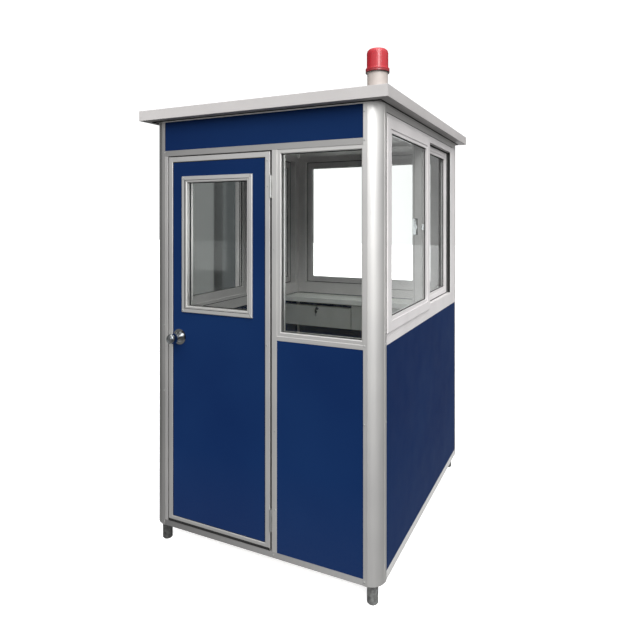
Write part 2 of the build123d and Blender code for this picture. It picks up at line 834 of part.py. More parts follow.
def make_drawer_runners():
    """Angles that carry the tray, on the left wall and on the upright."""
    x0, x1, y0, _, z0, _ = tray_box()
    t = runner_thickness
    top = z0 - runner_gap
    wall_left = -inner_x
    wall_right = drawer_right + drawer_side_gap
    depth = (y0 + drawer_side_gap, bay_half_y - drawer_side_gap)
    left = block(wall_left, wall_left + t, *depth, top - t, top + runner_width)
    left += block(wall_left, x0 + runner_width, *depth, top - t, top)
    right = block(wall_right - t, wall_right, *depth, top - t, top + runner_width)
    right += block(x1 - runner_width, wall_right, *depth, top - t, top)
    return Compound(children=[left, right])


def make_drawer_tray():
    """Open tray behind the drawer's front."""
    x0, x1, y0, y1, z0, z1 = tray_box()
    w = tray_wall
    tray = block(x0, x1, y0, y1, z0, z1)
    return tray - block(x0 + w, x1 - w, y0 + w, y1 - w, z0 + tray_floor, z1 + touch)


def make_drawer_front():
    """Flat front, bored for the lock."""
    t = drawer_front_thickness
    front = block(drawer_left, drawer_right, drawer_face, drawer_face + t,
                  drawer_bottom, drawer_top)
    x = (drawer_left + drawer_right) / 2
    z = drawer_top - lock_drop
    return front - along_y(lock_radius, x, z, drawer_face - touch, drawer_face + t + touch)


def make_drawer_lock():
    """Cylinder lock through the drawer's front."""
    x = (drawer_left + drawer_right) / 2
    z = drawer_top - lock_drop
    return along_y(lock_radius, x, z, drawer_face - lock_proud,
                   drawer_face + drawer_front_thickness)


# ---------------------------------------------------------------- beacon
def make_beacon_base():
    """Round housing on the roof, with the flange that the lens sits in."""
    z0 = roof_under + roof_thickness
    drum = upright(beacon_base_radius, beacon_base_height, beacon_x, beacon_y, z0)
    flange_z = z0 + beacon_base_height
    flange = upright(beacon_flange_radius, beacon_flange_height, beacon_x, beacon_y, flange_z)
    return drum + flange


def beacon_seat():
    """Height of the flange that the lens stands on."""
    return roof_under + roof_thickness + beacon_base_height + beacon_flange_height


def make_beacon_lens():
    """Domed lens on a rim, hollow and open underneath."""
    r = beacon_lens_radius
    rim = r + beacon_lens_rim
    wall = beacon_lens_wall
    top = beacon_lens_height
    bend = beacon_dome_radius
    outer = make_face(Polyline(
        (0, 0), (rim, 0), (rim, beacon_lens_rim_height), (r, beacon_lens_rim_height),
        *quarter_turn(r - bend, top - bend, bend, beacon_dome_flats), (0, top), close=True,
    ))
    hollow = make_face(Polyline(
        (0, -touch), (r - wall, -touch), (r - wall, top - bend),
        (r - bend, top - wall), (0, top - wall), close=True,
    ))
    lens = revolve(Plane.XZ * (outer - hollow), Axis.Z)
    return Pos(beacon_x, beacon_y, beacon_seat()) * lens


def make_beacon_reflector():
    """Lamp and the round reflector that it stands in, under the lens."""
    lamp = upright(lamp_radius, lamp_height, beacon_x, beacon_y, beacon_seat())
    reflector = upright(reflector_radius, reflector_height, beacon_x, beacon_y, beacon_seat())
    return lamp + reflector


# ---------------------------------------------------------------- the booth
def wall_place(name):
    """Turns a wall that faces -Y with its face at y = 0 into one of the real walls."""
    places = {
        "right": Rot(Z=90) * Pos(0, -half_width, 0),
        "left": Rot(Z=-90) * Pos(0, -half_width, 0),
        "rear": Rot(Z=180) * Pos(0, -half_depth, 0),
    }
    return places[name]


def build_booth():
    """Every node of the booth by name."""
    nodes = {
        "base_frame": make_base_frame(),
        "floor_panel": make_floor(),
        "feet": make_feet(),
        "corner_post_front_left": make_post(-1, -1),
        "corner_post_front_right": make_post(1, -1),
        "corner_post_rear_left": make_post(-1, 1),
        "corner_post_rear_right": make_post(1, 1),
        "top_ring": make_top_ring(),
        "header_rails": make_header_rails(),
        "roof_panel": make_roof_panel(),
        "roof_trim": make_roof_trim(),
        "front_header_panel": make_front_header_panel(),
        "front_transom": make_front_transom(),
        "door_jamb": make_door_jamb(),
        "door_mullion": make_door_mullion(),
        "front_lower_panel": make_front_lower_panel(),
        "sidelight_sill": make_sidelight_sill(),
        "sidelight_beads": make_sidelight_beads(),
        "sidelight_glass": sidelight_pane(),
        "right_lower_panel": make_side_panel(1),
        "left_lower_panel": make_side_panel(-1),
        "rear_lower_panel": make_rear_panel(),
        "door_frame": make_door_frame(),
        "door_panel": make_door_panel(),
        "door_window_frame": make_door_window_frame(),
        "door_window_glass": door_pane(),
        "frame_hinge_halves": make_hinges(make_frame_hinge),
        "leaf_hinge_halves": make_hinges(make_leaf_hinge),
        "knob_roses": Compound(children=[make_rose(-1), make_rose(1)]),
        "door_knob": make_door_knob(),
        "desk_top": make_desk_top(),
        "desk_apron": make_desk_apron(),
        "drawer_runners": make_drawer_runners(),
        "drawer_tray": make_drawer_tray(),
        "drawer_front": make_drawer_front(),
        "drawer_lock": make_drawer_lock(),
        "beacon_base": make_beacon_base(),
        "beacon_lens": make_beacon_lens(),
        "beacon_reflector": make_beacon_reflector(),
    }
    latches = []
    fillers = []
    for name in ("right", "left", "rear"):
        side = name != "rear"
        bay_half = bay_half_y if side else bay_half_x
        filler = window_filler if side else 0.0
        sash_gap = side_sash_gap if side else rear_sash_gap
        place = wall_place(name)
        for piece, solids in window_parts(bay_half, filler, sash_gap).items():
            if not side:
                solids = [mirror(solid, about=Plane.YZ) for solid in solids]
            if piece == "latch":
                latches += [place * solid for solid in solids]
            else:
                placed = [place * solid for solid in solids]
                nodes[f"{name}_window_{piece}"] = Compound(children=placed)
        if side:
            x0 = bay_half - filler
            strip = block(x0, bay_half, 0, wall_thickness, window_z, window_z + window_height)
            fillers.append(place * strip)
    nodes["window_latches"] = Compound(children=latches)
    nodes["window_filler_strips"] = Compound(children=fillers)
    return nodes


def main():
    os.makedirs("parts", exist_ok=True)
    nodes = build_booth()
    for name, shape in nodes.items():
        export_step(shape, f"parts/{name}.step")
    print(len(nodes), "nodes")


main()
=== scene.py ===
import json
import math
import random

import bpy
from mathutils import Matrix, Vector


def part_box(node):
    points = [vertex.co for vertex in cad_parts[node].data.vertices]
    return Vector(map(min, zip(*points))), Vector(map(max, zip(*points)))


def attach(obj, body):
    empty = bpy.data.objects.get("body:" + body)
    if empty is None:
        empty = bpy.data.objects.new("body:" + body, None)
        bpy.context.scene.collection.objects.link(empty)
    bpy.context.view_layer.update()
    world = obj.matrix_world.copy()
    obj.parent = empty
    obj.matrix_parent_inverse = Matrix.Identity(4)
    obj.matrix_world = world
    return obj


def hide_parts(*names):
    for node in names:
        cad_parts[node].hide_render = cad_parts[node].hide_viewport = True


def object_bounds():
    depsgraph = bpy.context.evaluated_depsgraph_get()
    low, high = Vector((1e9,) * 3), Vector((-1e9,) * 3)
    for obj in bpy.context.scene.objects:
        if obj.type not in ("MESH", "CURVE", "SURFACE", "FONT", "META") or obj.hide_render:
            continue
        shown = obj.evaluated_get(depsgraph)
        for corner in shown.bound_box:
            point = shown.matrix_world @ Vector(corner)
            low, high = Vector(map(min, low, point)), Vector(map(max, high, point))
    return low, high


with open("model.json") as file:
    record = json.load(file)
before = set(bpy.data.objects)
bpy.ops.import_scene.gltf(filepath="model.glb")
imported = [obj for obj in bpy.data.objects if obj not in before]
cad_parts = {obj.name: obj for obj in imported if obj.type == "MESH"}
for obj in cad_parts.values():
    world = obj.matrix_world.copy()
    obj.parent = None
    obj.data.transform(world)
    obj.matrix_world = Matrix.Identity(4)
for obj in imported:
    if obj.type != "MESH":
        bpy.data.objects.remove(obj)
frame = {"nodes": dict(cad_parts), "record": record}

cadLow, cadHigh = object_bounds()
scene = bpy.context.scene
nodes = frame["nodes"]
mm = 0.001


# how the nodes of a material are written

def toLinear(hexColour):
    # sRGB hex to the linear RGBA that the shaders want
    channels = [int(hexColour[i:i + 2], 16) / 255 for i in (1, 3, 5)]
    linear = [c / 12.92 if c <= 0.04045 else ((c + 0.055) / 1.055) ** 2.4 for c in channels]
    return (*linear, 1.0)


def addNode(tree, kind, settings=None, links=None):
    # one node with its attributes, ramp stops, fixed inputs and links
    node = tree.nodes.new(kind)
    for key, value in (settings or {}).items():
        if key == "stops":
            for i, (position, colour) in enumerate(value):
                stops = node.color_ramp.elements
                stop = stops[i] if i < 2 else stops.new(position)
                stop.position = position
                stop.color = toLinear(colour) if isinstance(colour, str) else (colour,) * 3 + (1,)
        elif isinstance(key, int) or key in node.inputs:
            node.inputs[key].default_value = value
        else:
            setattr(node, key, value)
    for key, source in (links or {}).items():
        tree.links.new(source, node.inputs[key])
    return node


def startMaterial(name, settings):
    # a fresh material with its Principled shader and Object coordinates
    material = bpy.data.materials.new(name)
    material.use_nodes = True
    tree = material.node_tree
    tree.nodes.clear()
    output = tree.nodes.new("ShaderNodeOutputMaterial")
    shader = addNode(tree, "ShaderNodeBsdfPrincipled", settings)
    tree.links.new(shader.outputs["BSDF"], output.inputs["Surface"])
    place = addNode(tree, "ShaderNodeTexCoord").outputs["Object"]
    return material, tree, shader, place


# where two or three tones lie in a cloudy pattern, which seldom reaches 0 or 1
toneStops = {2: (0.3, 0.7), 3: (0.25, 0.45, 0.75)}


def addPattern(tree, shader, vector, size, detail, tones=(), gloss=(), relief=(), warp=0.0):
    # cloudy pattern with spots of a size in mm. It can drive the tone, the roughness, between
    # two values, and a relief, by its strength and its depth in mm
    pattern = addNode(tree, "ShaderNodeTexNoise", {
        "Scale": 1 / (size * mm), "Detail": detail, "Distortion": warp}, {"Vector": vector})
    if tones:
        tone = addNode(tree, "ShaderNodeValToRGB", {"stops": zip(toneStops[len(tones)], tones)},
                       {"Fac": pattern.outputs["Fac"]})
        tree.links.new(tone.outputs["Color"], shader.inputs["Base Color"])
    if gloss:
        rough = addNode(tree, "ShaderNodeMapRange", {"To Min": gloss[0], "To Max": gloss[1]},
                        {"Value": pattern.outputs["Fac"]})
        tree.links.new(rough.outputs["Result"], shader.inputs["Roughness"])
    if relief:
        bump = addNode(tree, "ShaderNodeBump", {
            "Strength": relief[0], "Distance": relief[1] * mm},
            {"Height": pattern.outputs["Fac"]})
        tree.links.new(bump.outputs["Normal"], shader.inputs["Normal"])
    return pattern


def paintShadeAcross(tree, shader, place, shares, depth=None):
    # painted shade: darkens the tone between the left wall and the right one; shares are what is
    # left of it at each. With a depth, only the front is darkened, as far back as that
    tone = shader.inputs["Base Color"].links[0].from_socket
    low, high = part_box("base_frame")
    spot = addNode(tree, "ShaderNodeSeparateXYZ", links={"Vector": place})
    share = addNode(tree, "ShaderNodeMapRange", {
        "From Min": low.x, "From Max": high.x, "To Min": shares[0], "To Max": shares[1]},
        {"Value": spot.outputs["X"]})
    # a colour mix has its factor at input 0, its two colours at 6 and 7, its result at output 2
    shadedTone = addNode(tree, "ShaderNodeMix", {
        "data_type": "RGBA", "blend_type": "MULTIPLY", 0: 1.0},
        {6: tone, 7: share.outputs["Result"]})
    if depth:
        back = addNode(tree, "ShaderNodeMapRange", {
            "From Min": low.y + depth, "From Max": low.y + 2 * depth},
            {"Value": spot.outputs["Y"]})
        shadedTone = addNode(tree, "ShaderNodeMix", {"data_type": "RGBA"},
                       {0: back.outputs["Result"], 6: shadedTone.outputs[2], 7: tone})
    tree.links.new(shadedTone.outputs[2], shader.inputs["Base Color"])


# materials

def coatedBlueSteel():
    # coil-coated steel skin of a sandwich panel: deep satin blue, a faint orange peel,
    # broad hollows where the sheet isn't quite flat, and dust that settles low down
    material, tree, shader, place = startMaterial("coatedBlueSteel", {"Specular IOR Level": 0.02})
    addPattern(tree, shader, place, 600, 2.0, tones=("#0d2249", "#11284f"))
    paint = shader.inputs["Base Color"].links[0].from_socket
    height = addNode(tree, "ShaderNodeSeparateXYZ", links={"Vector": place})
    low = addNode(tree, "ShaderNodeMapRange", {  # heights in metres to a share of dust
        "From Min": 0.1, "From Max": 0.5, "To Min": 0.04, "To Max": 0.0},
        {"Value": height.outputs["Z"]})
    speck = addPattern(tree, shader, place, 9, 5.0)
    dust = addNode(tree, "ShaderNodeMath", {"operation": "MULTIPLY"},
                   {0: low.outputs["Result"], 1: speck.outputs["Fac"]})
    skin = addNode(tree, "ShaderNodeMix", {"data_type": "RGBA", 7: (0.2, 0.19, 0.17, 1)},
                   {0: dust.outputs["Value"], 6: paint})
    tree.links.new(skin.outputs[2], shader.inputs["Base Color"])
    addPattern(tree, shader, place, 120, 3.0, gloss=(0.36, 0.5))
    peel = addPattern(tree, shader, place, 6, 2.0)
    addPattern(tree, shader, place, 350, 0.0, relief=(1.0, 0.6))
    hollow = shader.inputs["Normal"].links[0].from_socket
    grain = addNode(tree, "ShaderNodeBump", {"Strength": 1.0, "Distance": 0.05 * mm},
                    {"Height": peel.outputs["Fac"], "Normal": hollow})
    tree.links.new(grain.outputs["Normal"], shader.inputs["Normal"])
    return material


def anodisedAluminium(name, stretch, tones=("#c6c5c4", "#cfcecc"), metallic=1.0, shadeShares=None):
    # extruded section, etched and anodised to a satin silver: fine die lines along its length,
    # which stretch sets, and slow changes of tone. Shade shares give painted shade: what is left
    # of the front's tone at the left and at the right
    material, tree, shader, place = startMaterial(name, {"Metallic": metallic})
    addPattern(tree, shader, place, 300, 2.0, tones=tones)
    if shadeShares:
        paintShadeAcross(tree, shader, place, shadeShares, depth=30 * mm)
    along = addNode(tree, "ShaderNodeMapping", {"Scale": stretch}, {"Vector": place})
    addPattern(tree, shader, along.outputs["Vector"], 4, 2.0, gloss=(0.44, 0.58),
               relief=(1.0, 0.03))
    return material


def coatedRoofSteel():
    # light grey coil-coated steel of the roof and its folded edge, a little uneven and dusty
    material, tree, shader, place = startMaterial("coatedRoofSteel", {"Specular IOR Level": 0.4})
    addPattern(tree, shader, place, 400, 4.0, tones=("#adaaa9", "#b8b5b4"))
    addPattern(tree, shader, place, 80, 3.0, gloss=(0.4, 0.55))
    addPattern(tree, shader, place, 250, 1.0, relief=(0.5, 0.4))
    return material


def whiteUpvc():
    # extruded white uPVC window section: smooth, a slight sheen, greyed in places by dust
    material, tree, shader, place = startMaterial("whiteUpvc", {"Specular IOR Level": 0.5})
    addPattern(tree, shader, place, 160, 4.0, tones=("#c8c5c5", "#d3d0d0"))
    addPattern(tree, shader, place, 40, 2.0, gloss=(0.3, 0.42))
    return material


def floatGlass():
    # clear float glass with the faint green of its edge; the room behind stays in shade
    material, tree, shader, _ = startMaterial("floatGlass", {
        "Base Color": toLinear("#f9fbfa"), "Roughness": 0.0, "IOR": 1.16,
        "Transmission Weight": 1.0})
    clear = addNode(tree, "ShaderNodeBsdfTransparent", {"Color": toLinear("#dfe0df")})
    shade = addNode(tree, "ShaderNodeBsdfTransparent", {"Color": toLinear("#a5a8a6")})
    path = addNode(tree, "ShaderNodeLightPath")
    soft = addNode(tree, "ShaderNodeMixShader", links={
        0: path.outputs["Is Diffuse Ray"], 1: shader.outputs["BSDF"], 2: shade.outputs["BSDF"]})
    lit = addNode(tree, "ShaderNodeMixShader", links={
        0: path.outputs["Is Shadow Ray"], 1: soft.outputs["Shader"], 2: clear.outputs["BSDF"]})
    tree.links.new(lit.outputs["Shader"], tree.nodes["Material Output"].inputs["Surface"])
    return material


def chromePlate(name, deep, bright, polish):
    # chrome over turned or cast metal, with the faint haze of handling. Its tone is a painted
    # reflection: dark where it faces the eye and bright at its rim
    material, tree, shader, place = startMaterial(name, {"Metallic": 1.0})
    rim = addNode(tree, "ShaderNodeLayerWeight", {"Blend": 0.5})
    tone = addNode(tree, "ShaderNodeValToRGB", {"stops": ((0.1, deep), (0.75, bright))},
                   {"Fac": rim.outputs["Facing"]})
    tree.links.new(tone.outputs["Color"], shader.inputs["Base Color"])
    addPattern(tree, shader, place, 10, 3.0, gloss=(polish * 0.6, polish * 1.6))
    return material


def zincSteel():
    # rolled steel, bright zinc plated: hinge leaves, screws and lock plates
    material, tree, shader, place = startMaterial("zincSteel", {
        "Base Color": toLinear("#b9bab8"), "Metallic": 1.0})
    addPattern(tree, shader, place, 8, 2.0, gloss=(0.26, 0.45))
    return material


def darkTubePaintedShade():
    # hot-dip galvanised tube in dark mottled greys, with painted shade that darkens it towards the
    # left
    material, tree, shader, place = startMaterial("darkTubePaintedShade", {
        "Metallic": 0.5, "Roughness": 0.6})
    addPattern(tree, shader, place, 15, 5.0, tones=("#4c4a49", "#767776", "#a0a3a0"),
               relief=(0.6, 0.3))
    paintShadeAcross(tree, shader, place, (0.26, 0.76))
    return material


def floorBoard():
    # sealed plywood floor with its grain along the booth
    material, tree, shader, place = startMaterial("floorBoard", {"Roughness": 0.55})
    along = addNode(tree, "ShaderNodeMapping", {"Scale": (1, 0.06, 1)}, {"Vector": place})
    addPattern(tree, shader, along.outputs["Vector"], 12, 5.0, tones=("#6a5640", "#8c745a"),
               relief=(0.5, 0.2), warp=0.6)
    return material


def greyDeskSteel(name, tones):
    # pressed steel desk in grey stove enamel, smooth, rubbed a little brighter here and there
    material, tree, shader, place = startMaterial(name, {"Specular IOR Level": 0.5})
    addPattern(tree, shader, place, 90, 3.0, tones=tones)
    addPattern(tree, shader, place, 30, 3.0, gloss=(0.3, 0.48))
    return material


def beaconHousing():
    # moulded cream ABS of the beacon's foot, a fine spark-eroded texture
    material, tree, shader, place = startMaterial("beaconHousing", {"Roughness": 0.45})
    addPattern(tree, shader, place, 30, 2.0, tones=("#a79e99", "#b1a8a2"))
    addPattern(tree, shader, place, 1.5, 1.0, relief=(0.5, 0.05))
    return material


def redPolycarbonate(name, colour):
    # moulded red polycarbonate of the lens, with the upright flutes inside that spread its
    # light; its flats read as one round dome
    material, tree, shader, place = startMaterial(name, {
        "Base Color": toLinear(colour), "Roughness": 0.2, "IOR": 1.58,
        "Transmission Weight": 0.3})
    low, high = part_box("beacon_lens")
    centred = addNode(tree, "ShaderNodeMapping", {
        "Location": (-(low.x + high.x) / 2, -(low.y + high.y) / 2, 0)}, {"Vector": place})
    parts = addNode(tree, "ShaderNodeSeparateXYZ", links={"Vector": centred.outputs["Vector"]})
    angle = addNode(tree, "ShaderNodeMath", {"operation": "ARCTAN2"},
                    {0: parts.outputs["Y"], 1: parts.outputs["X"]})
    turns = addNode(tree, "ShaderNodeMath", {"operation": "MULTIPLY", 1: 36.0},  # flutes
                    {0: angle.outputs["Value"]})
    flutes = addNode(tree, "ShaderNodeMath", {"operation": "SINE"}, {0: turns.outputs["Value"]})
    soft = addNode(tree, "ShaderNodeBevel", {"samples": 6, "Radius": 6 * mm})
    relief = addNode(tree, "ShaderNodeBump", {"Strength": 0.15, "Distance": 0.5 * mm},
                     {"Height": flutes.outputs["Value"], "Normal": soft.outputs["Normal"]})
    tree.links.new(relief.outputs["Normal"], shader.inputs["Normal"])
    return material


def blackRubber():
    # extruded EPDM glazing rubber: matt black with a grey bloom
    material, tree, shader, place = startMaterial("blackRubber", {
        "Roughness": 0.7, "Specular IOR Level": 0.3})
    addPattern(tree, shader, place, 25, 3.0, tones=("#121212", "#1f1f1e"))
    return material


def greyPile():
    # woven polypropylene pile of the draught strips, dark grey
    material, tree, shader, place = startMaterial("greyPile", {
        "Roughness": 0.95, "Specular IOR Level": 0.1})
    addPattern(tree, shader, place, 1.5, 2.0, tones=("#1c1c1c", "#3a3a39"), relief=(1.0, 0.4))
    return material


finishes = {
    "coatedBlueSteel": coatedBlueSteel(),
    "uprightAluminium": anodisedAluminium("uprightAluminium", (1, 1, 0.01)),
    "railAluminium": anodisedAluminium("railAluminium", (0.01, 1, 1)),
    # darker copies for the front-left post and the front transom: painted shade
    "shadedUpright": anodisedAluminium("shadedUpright", (1, 1, 0.01), ("#a8a7a6", "#b0afae")),
    "shadedRail": anodisedAluminium("shadedRail", (0.01, 1, 1), ("#a4a3a2", "#acabaa")),
    # the base frame: lighter tones than the other aluminium's, and painted shade that darkens its
    # front towards the left
    "sillAluminium": anodisedAluminium(
        "sillAluminium", (0.01, 1, 1), ("#e9e8e7", "#f0efee"), 0.7, shadeShares=(0.2, 0.56)),
    "coatedRoofSteel": coatedRoofSteel(),
    "whiteUpvc": whiteUpvc(),
    "floatGlass": floatGlass(),
    "chromePlate": chromePlate("chromePlate", "#686b6e", "#e2e4e5", 0.04),
    "satinChrome": chromePlate("satinChrome", "#b4b7b9", "#e6e7e8", 0.2),
    "zincSteel": zincSteel(),
    "darkTubePaintedShade": darkTubePaintedShade(),
    "floorBoard": floorBoard(),
    "greyDeskSteel": greyDeskSteel("greyDeskSteel", ("#b4b6b1", "#bec0bc")),
    # a much lighter copy for the desk top: painted light, for the window light and its reflection
    # on the top
    "deskSteelPaintedLight": greyDeskSteel("deskSteelPaintedLight", ("#eef0eb", "#f8f9f5")),
    "beaconHousing": beaconHousing(),
    "redPolycarbonate": redPolycarbonate("redPolycarbonate", "#c4202f"),
    "darkRedPolycarbonate": redPolycarbonate("darkRedPolycarbonate", "#9c1826"),
    "blackRubber": blackRubber(),
    "greyPile": greyPile(),
}

finishOfSlot = {
    "aluminium_trim": "uprightAluminium",
    "roof_sheet": "coatedRoofSteel",
    "blue_panel": "coatedBlueSteel",
    "window_pvc": "whiteUpvc",
    "clear_glass": "floatGlass",
    "chrome": "chromePlate",
    "hinge_steel": "zincSteel",
    "latch_metal": "satinChrome",
    "foot_steel": "darkTubePaintedShade",
    "floor_board": "floorBoard",
    "desk_board": "greyDeskSteel",
    "beacon_housing": "beaconHousing",
    "beacon_red": "redPolycarbonate",
    "beacon_lamp": "satinChrome",
}
# nodes that look otherwise than the rest of their slot: sections that lie, and copies with painted
# light or shade: darker on the front transom and front-left post, shaded base frame, lighter desk
# top
finishOfNode = {
    "front_transom": "shadedRail",
    "sidelight_sill": "railAluminium",
    "header_rails": "railAluminium",
    "top_ring": "railAluminium",
    "base_frame": "sillAluminium",
    "corner_post_front_left": "shadedUpright",
    "desk_top": "deskSteelPaintedLight",
}

for subpart in frame["record"]["subparts"]:
    name, kind = subpart["node"], subpart["material_slot"]
    finish = finishOfNode.get(name, finishOfSlot[kind])
    nodes[name].data.materials.clear()
    nodes[name].data.materials.append(finishes[finish])


# where the walls are

baseLow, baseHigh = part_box("base_frame")
glazedWalls = ("right", "rear", "left")
walls = {
    "front": {"across": 0, "depth": 1, "out": Vector((0, -1, 0)), "turn": 0, "face": baseLow.y},
    "right": {"across": 1, "depth": 0, "out": Vector((1, 0, 0)), "turn": 90, "face": baseHigh.x},
    "rear": {"across": 0, "depth": 1, "out": Vector((0, 1, 0)), "turn": 180, "face": baseHigh.y},
    "left": {"across": 1, "depth": 0, "out": Vector((-1, 0, 0)), "turn": -90, "face": baseLow.x},
}


def wallPoint(wall, across, out, z):
    # a point by its distance along a wall, how far out of the wall's face it is, and its height
    setting = walls[wall]
    depth = setting["face"] + out * (setting["out"].x + setting["out"].y)
    return Vector((across, depth, z) if setting["across"] == 0 else (depth, across, z))


def outOf(wall, point):
    # how far out of a wall's face a point is
    setting = walls[wall]
    return (point[setting["depth"]] - setting["face"]) * (setting["out"].x + setting["out"].y)


# tools of the workshop

def inMetres(settings):
    # a piece's settings in mm, turned to metres
    return {key: tuple(part * mm for part in value) if isinstance(value, tuple) else value * mm
            for key, value in settings.items()}


def startClean():
    if bpy.context.object and bpy.context.object.mode != "OBJECT":
        bpy.ops.object.mode_set(mode="OBJECT")
    bpy.ops.object.select_all(action="DESELECT")


def applyPlace(piece):
    # the piece's place goes into its mesh
    startClean()
    piece.select_set(True)
    bpy.context.view_layer.objects.active = piece
    bpy.ops.object.transform_apply(location=True, rotation=True, scale=True)


def roundEdges(piece, width, segments=1):
    modifier = piece.modifiers.new("roundedEdges", "BEVEL")
    modifier.width = width * mm
    modifier.segments = segments
    modifier.limit_method = "ANGLE"
    modifier.angle_limit = math.radians(40)
    bpy.context.view_layer.objects.active = piece
    bpy.ops.object.modifier_apply(modifier=modifier.name)


def joined(name, pieces):
    startClean()
    for piece in pieces:
        piece.select_set(True)
    bpy.context.view_layer.objects.active = pieces[0]
    if len(pieces) > 1:
        bpy.ops.object.join()
    pieces[0].name = name
    pieces[0].data.name = name
    return pieces[0]


def finished(piece, finish, body):
    # the last thing done to a piece: its place goes into its mesh, then its finish and its body
    applyPlace(piece)
    piece.data.materials.clear()
    piece.data.materials.append(finishes[finish])
    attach(piece, body)
    return piece


def block(centre, size, edge, segments=1, turn=(0, 0, 0)):
    # a straight piece of a size, its edges rounded by a width in mm
    startClean()
    bpy.ops.mesh.primitive_cube_add(size=1, location=centre)
    piece = bpy.context.object
    piece.scale = size
    piece.rotation_euler = turn
    applyPlace(piece)
    if edge:
        roundEdges(piece, edge, segments)
    return piece


def stripRing(wall, low, high, out, width, thickness):
    # a rectangular ring of strip on a wall or a pane: low and high are its outer corners, and
    # its width and thickness are in mm, the thickness below 0 where it faces inwards
    startClean()
    centre = wallPoint(wall, (low[0] + high[0]) / 2, out, (low[1] + high[1]) / 2)
    turn = math.radians(walls[wall]["turn"])
    bpy.ops.mesh.primitive_plane_add(size=1, location=centre, rotation=(math.radians(90), 0, turn))
    ring = bpy.context.object
    ring.scale = (high[0] - low[0], high[1] - low[1], 1)
    applyPlace(ring)
    bpy.ops.object.mode_set(mode="EDIT")
    bpy.ops.mesh.select_all(action="SELECT")
    bpy.ops.mesh.inset(thickness=width * mm)
    bpy.ops.mesh.delete(type="FACE")
    bpy.ops.mesh.select_all(action="SELECT")
    step = walls[wall]["out"] * thickness * mm
    bpy.ops.mesh.extrude_region_move(TRANSFORM_OT_translate={"value": step})
    bpy.ops.mesh.select_all(action="SELECT")
    bpy.ops.mesh.normals_make_consistent(inside=False)
    bpy.ops.object.mode_set(mode="OBJECT")
    roundEdges(ring, abs(thickness) * 0.3)  # a thin strip has a fine edge
    return ring


def bar(wall, across, out, heights, edge=0.3):
    # a straight strip between two places along a wall, two depths and two heights
    low = wallPoint(wall, min(across), min(out), min(heights))
    high = wallPoint(wall, max(across), max(out), max(heights))
    return block((low + high) / 2, [abs(high[i] - low[i]) for i in range(3)], edge)


def looksUp(face):
    return face.normal.z > 0.99


def editFaces(piece, chosen):
    # edit mode with the chosen faces selected
    bpy.context.view_layer.objects.active = piece
    bpy.ops.object.mode_set(mode="EDIT")
    bpy.ops.mesh.select_mode(type="FACE")
    bpy.ops.mesh.select_all(action="DESELECT")
    bpy.ops.object.mode_set(mode="OBJECT")
    for face in piece.data.polygons:
        face.select = chosen(face)
    bpy.ops.object.mode_set(mode="EDIT")


def turnedBody(profile, sides):
    # a lathe-turned body standing on the origin; profile is its heights and radii in mm
    startClean()
    (start, first), (end, _) = profile[:2]
    bpy.ops.mesh.primitive_cylinder_add(vertices=sides, radius=first * mm, depth=(end - start) * mm,
                                        location=(0, 0, (start + end) / 2 * mm))
    body = bpy.context.object
    applyPlace(body)
    editFaces(body, looksUp)
    height, radius = end, first
    for end, wide in profile[2:]:
        step = (0, 0, (end - height) * mm)
        bpy.ops.mesh.extrude_region_move(TRANSFORM_OT_translate={"value": step})
        bpy.ops.transform.resize(value=(wide / radius, wide / radius, 1),
                                 center_override=(0, 0, end * mm))
        height, radius = end, wide
    bpy.ops.object.mode_set(mode="OBJECT")
    bpy.ops.object.shade_smooth_by_angle(angle=math.radians(35))
    return body


def copiesAt(source, places):
    # copies of a piece, each with its own mesh, standing on the given points and facing out
    twins = []
    for point, facing, spin in places:
        twin = source.copy()
        twin.data = source.data.copy()
        scene.collection.objects.link(twin)
        turn = facing.to_track_quat("Z", "Y").to_matrix().to_4x4()
        twin.matrix_world = Matrix.Translation(point) @ turn @ Matrix.Rotation(spin, 4, "Z")
        twins.append(twin)
    bpy.context.view_layer.update()
    return twins


def discard(piece):
    bpy.data.objects.remove(piece, do_unlink=True)


# glazing rubber round every pane

glazingRubber = {
    "bite": 6,  # how far a pane runs into its groove
    "width": 3,
    "proud": 1.6,  # off the glass
}


def panesOf(node, wall):
    # each pane of a node as its corners on the wall and its two faces, the outermost first
    across = walls[wall]["across"]
    points = [vertex.co for vertex in nodes[node].data.vertices]
    depths = sorted({round(outOf(wall, point), 5) for point in points}, reverse=True)
    panes = []
    for front, back in zip(depths[::2], depths[1::2]):
        own = [point for point in points if round(outOf(wall, point), 5) in (front, back)]
        panes.append({
            "low": (min(p[across] for p in own), min(p.z for p in own)),
            "high": (max(p[across] for p in own), max(p.z for p in own)),
            "front": front, "back": back})
    return panes


def addGlazingRubber(node, wall, body, name):
    bite = glazingRubber["bite"] * mm
    rings = []
    for pane in panesOf(node, wall):
        low = [value + bite for value in pane["low"]]
        high = [value - bite for value in pane["high"]]
        for face, side in ((pane["front"], 1), (pane["back"], -1)):
            rings.append(stripRing(wall, low, high, face, glazingRubber["width"],
                                   side * glazingRubber["proud"]))
    finished(joined(name, rings), "blackRubber", body)


addGlazingRubber("door_window_glass", "front", "door", "doorWindowRubber")
addGlazingRubber("sidelight_glass", "front", "booth", "sidelightRubber")
for wall in glazedWalls:
    addGlazingRubber(wall + "_window_glass", wall, "booth", wall + "WindowRubber")
print("glazing rubber is in")


# pile strips where the sliding sashes meet their frame

pileStrip = {
    "jamb": 50, "head": 36, "sill": 74,  # faces of the fixed frame
    "sashFace": 60, "glassRecess": 12,  # of a sash
    "lapBottom": 22, "lapTop": 16,  # outer sash over the frame
    "width": 4, "headWidth": 7, "jambWidth": 10, "lip": 1.5, "lap": 0.6,
    "off": 0.3, "depth": 3,  # of a strip, from the inner sash's face
    "meetingDepth": 1.7, "meetingTop": 1,  # at the meeting stile
    "revealShade": 1.2, "revealShadeEnd": 3, "bead": 3.5, "beadOut": 1.9,
    "flangeLip": 1.2,
    "sashDepth": 13,  # from a pane's back to its sash's
    "ring": 3, "ringDepth": -1.2, "roomDepth": 1.5,  # inside the booth
    "under": (51.5, 50), "underHeight": 2.5,  # bead under the frame, and its depths
}


